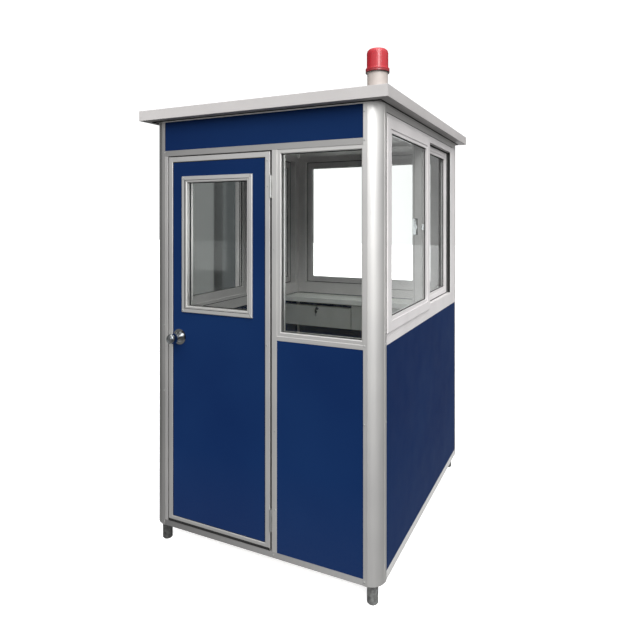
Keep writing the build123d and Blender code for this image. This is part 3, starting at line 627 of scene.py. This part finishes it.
def addPileStrips(wall):
    s = inMetres(pileStrip)
    bite = glazingRubber["bite"] * mm
    outer, inner = panesOf(wall + "_window_glass", wall)
    frameLow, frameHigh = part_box(wall + "_window_frame")
    across = walls[wall]["across"]
    way = 1 if inner["low"][0] > outer["low"][0] else -1
    edges = (outer["low"][0], outer["high"][0]) if way > 0 else (outer["high"][0], outer["low"][0])
    free = edges[0] + way * (bite - s["sashFace"])  # outer sash's edge by the post
    meeting = edges[1] + way * (s["sashFace"] - bite)  # its other edge
    jamb = (frameHigh if way > 0 else frameLow)[across] - way * s["jamb"]
    sill, head = frameLow.z + s["sill"], frameHigh.z - s["head"]
    face = inner["front"] + s["glassRecess"]  # inner sash's face
    depths = (face + s["off"], face + s["depth"])
    strips = [
        # the head strip and the jamb strip are wider than the pile: painted shade where the head
        # and the jamb fall in shadow
        bar(wall, (meeting, jamb), depths, (head - s["headWidth"], head)),
        bar(wall, (meeting, jamb), depths, (sill, sill + s["width"])),
        bar(wall, (jamb - way * s["jambWidth"], jamb), depths,
            (sill + s["width"] - s["lap"], head - s["headWidth"] + s["lap"])),
        bar(wall, (meeting - way * s["width"], meeting + way * s["lip"]),
            (face + s["off"], face + s["meetingDepth"]), (sill, head - s["meetingTop"])),
    ]
    # a dark strip over the jamb's reveal: painted shade, where the reveal lies in shadow
    strips.append(bar(wall, (jamb - way * s["revealShade"], jamb),
                      (face + s["width"], -s["revealShadeEnd"]), (sill + s["lap"], head - s["lap"])))
    # dark strips of pile at the outer sash's flange, along its free edge, above and below it:
    # painted shade for the flange's shadow line on the frame
    lip = (0.0, s["flangeLip"])
    low, high = sill - s["lapBottom"], head + s["lapTop"]
    strips += [
        bar(wall, (free - way * s["bead"], free), (0, s["beadOut"]),
            (low - s["lap"], high + s["lap"])),
        bar(wall, (free - way * s["lap"], meeting), lip, (high, high + s["lip"])),
        bar(wall, (free - way * s["lap"], meeting), lip, (low - s["lip"], low)),
    ]
    # inside the booth: a lip all round the inner sash, strips where the outer sash shows,
    # and a bead under the frame
    inFace = outOf(wall, frameLow if walls[wall]["out"][walls[wall]["depth"]] > 0 else frameHigh)
    grow = s["sashFace"] - bite + s["lip"]
    strips.append(stripRing(wall, [value - grow for value in inner["low"]],
                            [value + grow for value in inner["high"]], inFace,
                            pileStrip["ring"], pileStrip["ringDepth"]))
    farJamb = (frameLow if way > 0 else frameHigh)[across] + way * s["jamb"]
    reach = (inner["low"][0] if way > 0 else inner["high"][0]) - way * grow
    room = outer["back"] - s["sashDepth"]
    depths = (room - s["roomDepth"], room)
    strips += [
        bar(wall, (farJamb, reach), depths, (head - s["width"], head)),
        bar(wall, (farJamb, reach), depths, (sill, sill + s["width"])),
        bar(wall, (farJamb, farJamb + way * s["width"]), depths,
            (sill + s["width"] - s["lap"], head - s["width"] + s["lap"])),
        bar(wall, (frameLow[across], frameHigh[across]), [-depth for depth in s["under"]],
            (frameLow.z - s["underHeight"], frameLow.z)),
    ]
    finished(joined(wall + "WindowPile", strips), "greyPile", "booth")


for wall in glazedWalls:
    addPileStrips(wall)
print("pile strips are in")


# rubber seal round the door on its stops, brush under the leaf, rubber lip across its foot

doorSeal = {
    "gap": 5, "width": 9, "thickness": 3.5, "leafDepth": 40, "lap": 0.5,
    "overMullion": 12, "edge": 1.2,
    "sweepIn": 4, "sweepDepths": (-26, -14), "sweepDrop": 3.5,
    "lipIn": 1, "lipDepths": (-0.5, 1.4), "lipDrop": 3, "lipRise": 8, "lipEdge": 0.5,
}


def addDoorSeals():
    s = inMetres(doorSeal)
    edge = doorSeal["edge"]
    low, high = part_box("door_frame")
    left, top = low.x - s["gap"], high.z + s["gap"]
    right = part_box("door_mullion")[0].x + s["overMullion"]
    back = -s["leafDepth"] - s["gap"]  # face of the stops
    depths = (back, back + s["thickness"])
    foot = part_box("door_jamb")[0].z
    strips = [
        bar("front", (left, left + s["width"]), depths, (foot, top), edge),
        bar("front", (right - s["width"], right), depths, (foot, top), edge),
        bar("front", (left + s["width"] - s["lap"], right - s["width"] + s["lap"]), depths,
            (top - s["width"], top), edge),
    ]
    finished(joined("doorSeal", strips), "blackRubber", "booth")
    sweep = bar("front", (low.x + s["sweepIn"], high.x - s["sweepIn"]), s["sweepDepths"],
                (low.z - s["sweepDrop"], low.z))
    finished(joined("doorSweep", [sweep]), "greyPile", "door")
    lip = bar("front", (low.x + s["lipIn"], high.x - s["lipIn"]), s["lipDepths"],
              (low.z - s["lipDrop"], low.z + s["lipRise"]), doorSeal["lipEdge"])
    finished(joined("doorLip", [lip]), "blackRubber", "door")


addDoorSeals()
print("door seals are in")


# a gasket round the door's blue panel, and the black line at the step of the door's window frame

panelGasket = {
    "width": 3, "proud": 0.8,
    "step": 18, "stepWidth": 2.2, "stepProud": 1.4, "stepBack": 3,
    "mitre": 0.9, "mitreProud": 0.12, "mitreEdge": 0.048,
}


def addPanelGaskets():
    s = inMetres(panelGasket)
    low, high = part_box("door_panel")
    rings = [stripRing("front", (low.x, low.z), (high.x, high.z), outOf("front", low),
                       panelGasket["width"], panelGasket["proud"])]
    low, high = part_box("door_window_frame")
    inLow = (low.x + s["step"], low.z + s["step"])
    inHigh = (high.x - s["step"], high.z - s["step"])
    bead = outOf("front", low) - s["stepBack"]
    rings.append(stripRing("front", inLow, inHigh, bead, panelGasket["stepWidth"],
                           panelGasket["stepProud"]))
    finished(joined("doorGaskets", rings), "blackRubber", "door")
    # mitre joints at the corners of the window frame
    mitres = []
    half = s["step"] / 2
    for x, sideX in ((low.x, 1), (high.x, -1)):
        for z, sideZ in ((low.z, 1), (high.z, -1)):
            centre = (x + sideX * half, low.y, z + sideZ * half)
            size = (s["mitre"], s["mitreProud"] * 2, s["step"] * math.sqrt(2) - s["mitre"])
            mitres.append(block(centre, size, panelGasket["mitreEdge"],
                                turn=(0, math.radians(45) * sideX * sideZ, 0)))
    finished(joined("windowFrameMitres", mitres), "greyPile", "door")


addPanelGaskets()


roofSeal = {"foam": 3, "foamHeight": 4, "shadeLine": 0.8, "shadeLineRise": 1.5}


def addRoofSeals():
    # a black strip of foam between the top ring and the roof, and a black line over each window
    # frame: both paint the shade under the roof's edge
    s = inMetres(roofSeal)
    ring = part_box("top_ring")[1]
    proud = outOf("right", ring)
    top = ring.z
    beads = []
    for wall, setting in walls.items():
        reach = ring[setting["across"]] + s["foam"]
        beads.append(bar(wall, (-reach, reach), (proud, proud + s["foam"]),
                         (top - s["foamHeight"], top)))
        if wall != "front":
            low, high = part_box(wall + "_window_frame")
            span = (low[setting["across"]], high[setting["across"]])
            beads.append(bar(wall, span, (0, s["shadeLine"]),
                             (high.z - s["shadeLineRise"], high.z + s["shadeLineRise"])))
    finished(joined("roofFoamAndShade", beads), "blackRubber", "booth")


latchShade = {
    "middle": 1568,  # above the ground
    "half": 43.5,  # of its height
    "from": 49.5, "to": 21.5, "thickness": 0.8,
}


def addLatchShade():
    # a black sheet just larger than each window latch: painted shade, the dark outline round the
    # latch
    s = inMetres(latchShade)
    sheets = []
    for wall in glazedWalls:
        outer, inner = panesOf(wall + "_window_glass", wall)
        side = 1 if inner["low"][0] > outer["low"][0] else -1
        bite = glazingRubber["bite"] * mm
        edge = inner["low"][0] if side > 0 else inner["high"][0]
        end = edge + side * (bite - pileStrip["sashFace"] * mm)
        face = inner["front"] + pileStrip["glassRecess"] * mm
        sheets.append(bar(wall, (end - side * s["thickness"], end),
                        (face - s["from"], face - s["to"]),
                        (s["middle"] - s["half"], s["middle"] + s["half"])))
    finished(joined("latchShadeSheets", sheets), "blackRubber", "booth")


addRoofSeals()
addLatchShade()
print("gaskets and seals are in")


# screws, modelled once

panScrew = {
    "sides": 14, "radius": 3.6, "height": 1.9, "crown": 0.55,
    "recess": 0.8, "deep": 1.2, "length": 4.14,
}


def buildScrew():
    # pan head with a cross recess, standing on the origin and facing up
    s = inMetres(panScrew)
    startClean()
    bpy.ops.mesh.primitive_cylinder_add(vertices=panScrew["sides"], radius=s["radius"],
                                        depth=s["height"], location=(0, 0, s["height"] / 2))
    head = bpy.context.object
    applyPlace(head)
    editFaces(head, looksUp)
    bpy.ops.mesh.bevel(offset=s["crown"], segments=1, affect="EDGES")
    bpy.ops.object.mode_set(mode="OBJECT")
    for turn in (0, 90):
        blade = block((0, 0, s["height"]), (s["recess"], s["length"], s["deep"] * 2), 0,
                      turn=(0, 0, math.radians(turn)))
        cut = head.modifiers.new("recess", "BOOLEAN")
        cut.object = blade
        cut.operation = "DIFFERENCE"
        cut.solver = "EXACT"
        bpy.context.view_layer.objects.active = head
        bpy.ops.object.modifier_apply(modifier=cut.name)
        discard(blade)
    return head


screwPlaces = {
    "seed": 11,
    "postHeights": (107, 756, 1083, 1937, 2054),  # above the ground
    "uneven": 2,  # how far a height may be off
    "lip": 4.5,  # from the lip's edge
    "mullion": ((97, 1471), (102, 658), (103, 306), (95, 105)),
    "stile": ((63, 1872), (66, 1755), (60, 1038)),
    "windowFrameIn": 9,
    "windowFrameShares": (-0.18, 0.18),  # of its height, from its middle
}


def addScrews():
    dice = random.Random(screwPlaces["seed"])
    uneven = screwPlaces["uneven"]
    source = buildScrew()
    places = {"booth": [], "door": []}

    def drive(wall, across, out, z, body):
        point = wallPoint(wall, across, out, z)
        places[body].append((point, walls[wall]["out"], dice.uniform(0, math.pi)))

    for post in ("front_left", "front_right", "rear_left", "rear_right"):
        low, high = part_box("corner_post_" + post)
        for wall in post.split("_"):
            across = walls[wall]["across"]
            inner = min((low[across], high[across]), key=abs)
            side = 1 if inner > 0 else -1
            proud = outOf(wall, high if walls[wall]["out"][walls[wall]["depth"]] > 0 else low)
            for height in screwPlaces["postHeights"]:
                drive(wall, inner + side * screwPlaces["lip"] * mm, proud,
                      (height + dice.uniform(-uneven, uneven)) * mm, "booth")
    for row, node, body in (("mullion", "door_mullion", "booth"), ("stile", "door_frame", "door")):
        front = outOf("front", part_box(node)[0])
        for x, z in screwPlaces[row]:
            drive("front", x * mm, front, z * mm, body)
    low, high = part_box("door_window_frame")
    front = outOf("front", low)
    step = screwPlaces["windowFrameIn"] * mm
    middle = (low.z + high.z) / 2
    between = [middle + (high.z - low.z) * share for share in screwPlaces["windowFrameShares"]]
    for x in (low.x + step, high.x - step):
        for z in (low.z + step, *between, high.z - step):
            drive("front", x, front, z, "door")
    for body, spots in places.items():
        heads = copiesAt(source, spots)
        finished(joined(body + "Screws", heads), "zincSteel", body)
    discard(source)
    print(sum(len(spots) for spots in places.values()), "screws are in")


addScrews()


# face plate and latch bolt on the leaf's free edge, strike plate on the jamb

lockCase = {
    "plate": (1.2, 22, 150), "plateEdge": 0.4,  # thickness, width, height
    "bolt": (2.6, 12, 24), "boltEdge": 1.0,
    "gap": 5,  # between the leaf and the jamb
    "behindFace": 20,
}


def onEdge(x, way, y, z, size, edge, segments=1):
    # a block lying on an upright edge at x, facing the way along x
    thick, wide, tall = (value * mm for value in size)
    return block((x + way * thick / 2, y, z), (thick, wide, tall), edge, segments)


def addLockPlates():
    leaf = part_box("door_frame")[0].x
    jamb = leaf - lockCase["gap"] * mm
    low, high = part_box("door_knob")
    z = (low.z + high.z) / 2
    y = baseLow.y + lockCase["behindFace"] * mm
    face = [onEdge(leaf, -1, y, z, lockCase["plate"], lockCase["plateEdge"]),
            onEdge(leaf, -1, y, z, lockCase["bolt"], lockCase["boltEdge"], 2)]
    finished(joined("latchFacePlate", face), "zincSteel", "door")
    strike = [onEdge(jamb, 1, y, z, lockCase["plate"], lockCase["plateEdge"])]
    finished(joined("strikePlate", strike), "zincSteel", "booth")


addLockPlates()
print("lock plates are in")


# round rings: beacon gaskets, lock ring and key ring

def roundRing(radius, width, thickness, sides=32, edge=0.3):
    # a flat ring standing on the origin and facing up, its sizes in mm
    startClean()
    bpy.ops.mesh.primitive_circle_add(vertices=sides, radius=radius * mm, fill_type="NGON")
    ring = bpy.context.object
    bpy.ops.object.mode_set(mode="EDIT")
    bpy.ops.mesh.select_all(action="SELECT")
    bpy.ops.mesh.inset(thickness=width * mm)
    bpy.ops.mesh.delete(type="FACE")
    bpy.ops.mesh.select_all(action="SELECT")
    bpy.ops.mesh.extrude_region_move(TRANSFORM_OT_translate={"value": (0, 0, thickness * mm)})
    bpy.ops.mesh.select_all(action="SELECT")
    bpy.ops.mesh.normals_make_consistent(inside=False)
    bpy.ops.object.mode_set(mode="OBJECT")
    roundEdges(ring, edge)
    return ring


def placed(piece, point, facing=Vector((0, 0, 1)), spin=0.0):
    # moves a piece built on the origin to its place
    twin = copiesAt(piece, [(point, facing, spin)])[0]
    discard(piece)
    applyPlace(twin)
    return twin


beaconGasket = {
    "foot": (45.5, 6, 2),  # radius, width and thickness of the ring under the beacon
    "seam": (4, 1.2), "seamIn": 0.2,
    "skirt": 9.5, "skirtWall": 1.8, "skirtLap": 0.5, "skirtSides": 40,
}


def addBeaconGaskets():
    s = inMetres(beaconGasket)
    low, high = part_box("beacon_base")
    lensLow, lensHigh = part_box("beacon_lens")
    centre = (low + high) / 2
    foot = placed(roundRing(*beaconGasket["foot"]), Vector((centre.x, centre.y, low.z)))
    radius = (lensHigh.x - lensLow.x) / 2 / mm
    under = high.z - s["skirt"]
    seam = roundRing(radius - beaconGasket["seamIn"], *beaconGasket["seam"])
    seam = placed(seam, Vector((centre.x, centre.y, under - s["seam"][1])))
    finished(joined("beaconGaskets", [foot, seam]), "blackRubber", "booth")
    # the lens's skirt, which closes over the flange of the base
    skirt = roundRing(radius, beaconGasket["skirtWall"],
                      beaconGasket["skirt"] + beaconGasket["skirtLap"], beaconGasket["skirtSides"])
    skirt = placed(skirt, Vector((centre.x, centre.y, under)))
    finished(joined("lensSkirt", [skirt]), "darkRedPolycarbonate", "booth")


addBeaconGaskets()
print("beacon gaskets are in")


# lock ring on the drawer, and its keys

outwards = walls["front"]["out"]
keySet = {
    "ring": (11.5, 2.4, 1.2),  # radius, width, thickness round the lock
    "bow": (10, 7.5, 2.6, 20, 0.6),  # the same of a key's head, then its sides and its edge
    "shoulder": 0.8,  # where the blade leaves the head, as a share of its radius
    "blade": (7, 2.0, 24),  # width, thickness, length
    "wire": (8.5, 1.2, 1.2, 24),
    "cuts": (1, 0.8, 0.95, 0.72, 0.86, 0.7, 0.9, 0.45),  # widths of the blade along it
    "bladeShown": 8,  # of the key in the lock
    "spareDrop": 1.5, "spareShare": 0.3, "spareTurn": 14,  # how the spare hangs in the wire
    "wireAside": 0.6, "wireRise": 1, "wireSpin": 0.2,
}


def buildKey():
    # a cut key with a moulded head, its bow at the origin's side and its blade pointing up
    radius, _, thick = keySet["bow"][:3]
    bow = placed(roundRing(*keySet["bow"]), Vector((0, thick * mm / 2, 0)), outwards)
    finished(bow, "blackRubber", "drawer")
    broad, thin, long = keySet["blade"]
    step = long / (len(keySet["cuts"]) + 1)
    height = radius * keySet["shoulder"]
    blade = block((0, 0, (height + step / 2) * mm), (broad * mm, thin * mm, step * mm), 0)
    editFaces(blade, looksUp)
    wide = 1.0
    for cut in keySet["cuts"]:
        bpy.ops.mesh.extrude_region_move(TRANSFORM_OT_translate={"value": (0, 0, step * mm)})
        bpy.ops.transform.resize(value=(cut / wide, 1, 1),
                                 center_override=(-broad / 2 * mm, 0, height * mm))
        wide = cut
    bpy.ops.object.mode_set(mode="OBJECT")
    blade.data.materials.append(finishes["satinChrome"])
    return joined("key", [bow, blade])


def addKeys():
    s = inMetres(keySet)
    low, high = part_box("drawer_lock")
    centre = (low + high) / 2
    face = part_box("drawer_front")[0].y
    ring = placed(roundRing(*keySet["ring"]), Vector((centre.x, face, centre.z)), outwards)
    ring.name = "drawerLockRing"
    finished(ring, "satinChrome", "drawer")
    # one key in the lock, the spare hanging from a wire ring through both heads
    bowRadius, wireRadius = s["bow"][0], s["wire"][0]
    y = low.y - bowRadius * keySet["shoulder"] - s["bladeShown"]
    hang = centre.z - wireRadius * 2 + s["spareDrop"] - bowRadius * keySet["spareShare"]
    keys = []
    for name, z, tilt, turn in (("lockKey", centre.z, -90, 90),
                                ("spareKey", hang, 180, keySet["spareTurn"])):
        key = buildKey()
        key.name = name
        key.matrix_world = (Matrix.Translation(Vector((centre.x, y, z)))
                            @ Matrix.Rotation(math.radians(tilt), 4, "X")
                            @ Matrix.Rotation(math.radians(turn), 4, "Z"))
        keys.append(key)
    middle = Vector((centre.x + s["wireAside"], y, centre.z - wireRadius + s["wireRise"]))
    wire = placed(roundRing(*keySet["wire"]), middle, outwards, keySet["wireSpin"])
    wire.name = "keyRing"
    finished(wire, "satinChrome", "drawer")
    for key in keys:
        bpy.context.view_layer.update()
        applyPlace(key)
        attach(key, "drawer")


addKeys()
print("keys are in")


# the door knob on both sides of the leaf, turned to its full shape

knobShape = {
    "profile": (
        (-0.5, 6), (27.5, 6), (27.6, 13), (44, 13), (47, 14.6), (51, 19), (56, 22.8), (63, 25.1),
        (71, 25.5), (79, 25.1), (86, 23.4), (90.5, 21), (93, 18), (94, 15.2), (93.4, 13.4),
        (92.2, 11.6), (92.2, 11), (93.4, 10.6)),
    "sides": 40,
    "keyway": (1.4, 8.5), "keywayDepths": (2, 0.3),
}


def buildKnob():
    low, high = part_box("door_knob")
    centre = (low + high) / 2
    source = turnedBody(knobShape["profile"], knobShape["sides"])
    halves = copiesAt(source, [(centre, walls[wall]["out"], 0) for wall in ("front", "rear")])
    discard(source)
    knob = finished(joined("turnedKnob", halves), "chromePlate", "door_knob")
    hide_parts("door_knob")
    wide, tall = (value * mm / 2 for value in knobShape["keyway"])
    front = outOf("front", low)
    depths = [front - depth * mm for depth in knobShape["keywayDepths"]]
    keyway = bar("front", (centre.x - wide, centre.x + wide), depths,
                 (centre.z - tall, centre.z + tall))
    finished(joined("knobKeyway", [keyway]), "blackRubber", "door_knob")


buildKnob()
print("knob is in")


# stage, light and camera

stageSettings = {
    "size": 60.0,
    "floorColour": "#fafafa",
    "floorGlow": 0.6,  # a light table's own light, which leaves only a faint shadow
    "backdrop": 1.2,  # strength of the white that the camera sees behind
    "brightSide": Vector((0.62, -0.78, 0.0)),  # where the room round the booth is brightest
    "roomLight": ((0.0, 0.1), (0.3, 0.14), (0.5, 0.5), (0.75, 0.95), (1.0, 1.35)),
    "ceiling": 0.76,  # extra light from straight above
    "ground": 0.14,  # what undersides see
    "groundInGloss": 0.34,  # what metal shows of the pale floor
}
hall = {
    "size": (3.6, 3.4), "at": (-1.25, 0.25, 1.6), "turn": 90,
    "hiddenFrom": ("camera", "shadow", "diffuse"),
    "tones": ((0.0, "#747675"), (0.6, "#6c6e6d"), (0.605, "#242525"), (0.63, "#303232"),
              (0.64, "#4a4d4e")),
}
rearDaylight = {
    "size": (1.3, 1.2), "at": (-0.2, 1.35, 1.62), "turn": 0, "strength": 3.2,
    "hiddenFrom": ("camera", "shadow", "transmission"),
}
lights = {
    "overheadSoft": {"from": (0.2, -0.25, 1.0), "angle": 60, "strength": 1.6},
    "cornerSoft": {"from": (0.58, -0.8, 0.6), "angle": 40, "strength": 2.5},
}
cameraSettings = {
    "at": (1.347, -2.871, 1.609), "yaw": 25.68, "lens": 30.82, "shiftY": -0.158,
    "sensor": 36, "sight": 100,
}


def addCard(name, setting, shine):
    # an upright card that gives light and nothing else
    startClean()
    bpy.ops.mesh.primitive_plane_add(size=1, location=setting["at"])
    card = bpy.context.object
    card.name = name
    card.scale = (*setting["size"], 1)
    card.rotation_euler = (math.radians(90), 0, math.radians(setting["turn"]))
    material, tree, shader, place = startMaterial(name, {
        "Base Color": (0, 0, 0, 1), "Roughness": 1.0, "Specular IOR Level": 0.0, **shine})
    card.data.materials.append(material)
    for ray in setting["hiddenFrom"]:
        setattr(card, "visible_" + ray, False)
    return tree, shader, place


def buildStage():
    startClean()
    bpy.ops.mesh.primitive_plane_add(size=stageSettings["size"], location=(0, 0, cadLow.z))
    floor = bpy.context.object
    floor.name = "studioFloor"
    material = startMaterial("studioPaper", {
        "Base Color": toLinear(stageSettings["floorColour"]), "Roughness": 0.9,
        "Specular IOR Level": 0.0, "Emission Color": (1, 1, 1, 1),
        "Emission Strength": stageSettings["floorGlow"]})[0]
    floor.data.materials.append(material)
    floor.visible_diffuse = False
    floor.visible_glossy = False
    # a dim wall beyond the left window, which only glass and gloss show
    tree, shader, place = addCard("hallWall", hall, {"Emission Strength": 1.0})
    parts = addNode(tree, "ShaderNodeSeparateXYZ", links={"Vector": place})
    along = addNode(tree, "ShaderNodeMapRange", {"From Min": -0.5, "From Max": 0.5},
                    {"Value": parts.outputs["X"]})
    tone = addNode(tree, "ShaderNodeValToRGB", {"stops": hall["tones"]},
                   {"Fac": along.outputs["Result"]})
    tree.links.new(tone.outputs["Color"], shader.inputs["Emission Color"])
    # daylight behind the rear window, for the desk and the walls inside
    addCard("rearDaylight", rearDaylight, {
        "Emission Color": (1, 1, 1, 1), "Emission Strength": rearDaylight["strength"]})


def lightTheAir():
    # plain white for the camera, and a room that is brighter in front and to the right
    world = bpy.data.worlds.new("studioAir")
    scene.world = world
    world.use_nodes = True
    tree = world.node_tree
    tree.nodes.clear()
    way = addNode(tree, "ShaderNodeTexCoord").outputs["Generated"]
    facing = addNode(tree, "ShaderNodeVectorMath",
                     {"operation": "DOT_PRODUCT", 1: stageSettings["brightSide"]}, {0: way})
    across = addNode(tree, "ShaderNodeMapRange", {"From Min": -1.0},
                     {"Value": facing.outputs["Value"]})
    ramp = addNode(tree, "ShaderNodeValToRGB", {"stops": stageSettings["roomLight"]},
                   {"Fac": across.outputs["Result"]})
    height = addNode(tree, "ShaderNodeSeparateXYZ", links={"Vector": way}).outputs["Z"]
    above = addNode(tree, "ShaderNodeMapRange",
                    {"From Min": 0.2, "To Max": stageSettings["ceiling"]}, {"Value": height})
    sky = addNode(tree, "ShaderNodeMath", {"operation": "ADD"},
                  {0: ramp.outputs["Color"], 1: above.outputs["Result"]})
    path = addNode(tree, "ShaderNodeLightPath")
    ground = addNode(tree, "ShaderNodeMapRange", {
        "To Min": stageSettings["ground"], "To Max": stageSettings["groundInGloss"]},
        {"Value": path.outputs["Is Glossy Ray"]})
    level = addNode(tree, "ShaderNodeMapRange", {"From Min": -0.12, "From Max": 0.0}, {
        "Value": height, "To Min": ground.outputs["Result"], "To Max": sky.outputs["Value"]})
    room = addNode(tree, "ShaderNodeBackground", {"Color": (1, 1, 1, 1)},
                   {"Strength": level.outputs["Result"]})
    seen = addNode(tree, "ShaderNodeBackground",
                   {"Color": (1, 1, 1, 1), "Strength": stageSettings["backdrop"]})
    direct = addNode(tree, "ShaderNodeMath", {"operation": "MAXIMUM"}, {
        0: path.outputs["Is Camera Ray"], 1: path.outputs["Is Transmission Ray"]})
    mix = addNode(tree, "ShaderNodeMixShader", links={
        0: direct.outputs["Value"], 1: room.outputs["Background"],
        2: seen.outputs["Background"]})
    addNode(tree, "ShaderNodeOutputWorld", links={"Surface": mix.outputs["Shader"]})


def hangLights():
    for name, setting in lights.items():
        lamp = bpy.data.lights.new(name, "SUN")
        lamp.angle = math.radians(setting["angle"])
        lamp.energy = setting["strength"]
        lampObject = bpy.data.objects.new(name, lamp)
        scene.collection.objects.link(lampObject)
        lampObject.rotation_euler = Vector(setting["from"]).to_track_quat("Z", "Y").to_euler()


def placeCamera():
    camera = bpy.data.cameras.new("camera")
    cameraObject = bpy.data.objects.new("camera", camera)
    scene.collection.objects.link(cameraObject)
    cameraObject.location = cameraSettings["at"]
    cameraObject.rotation_euler = (math.radians(90), 0, math.radians(cameraSettings["yaw"]))
    camera.lens = cameraSettings["lens"]
    camera.sensor_width = cameraSettings["sensor"]
    camera.shift_y = cameraSettings["shiftY"]
    camera.clip_end = cameraSettings["sight"]
    scene.camera = cameraObject


buildStage()
lightTheAir()
hangLights()
placeCamera()
scene.view_settings.view_transform = "Standard"
print("stage, light and camera are set")
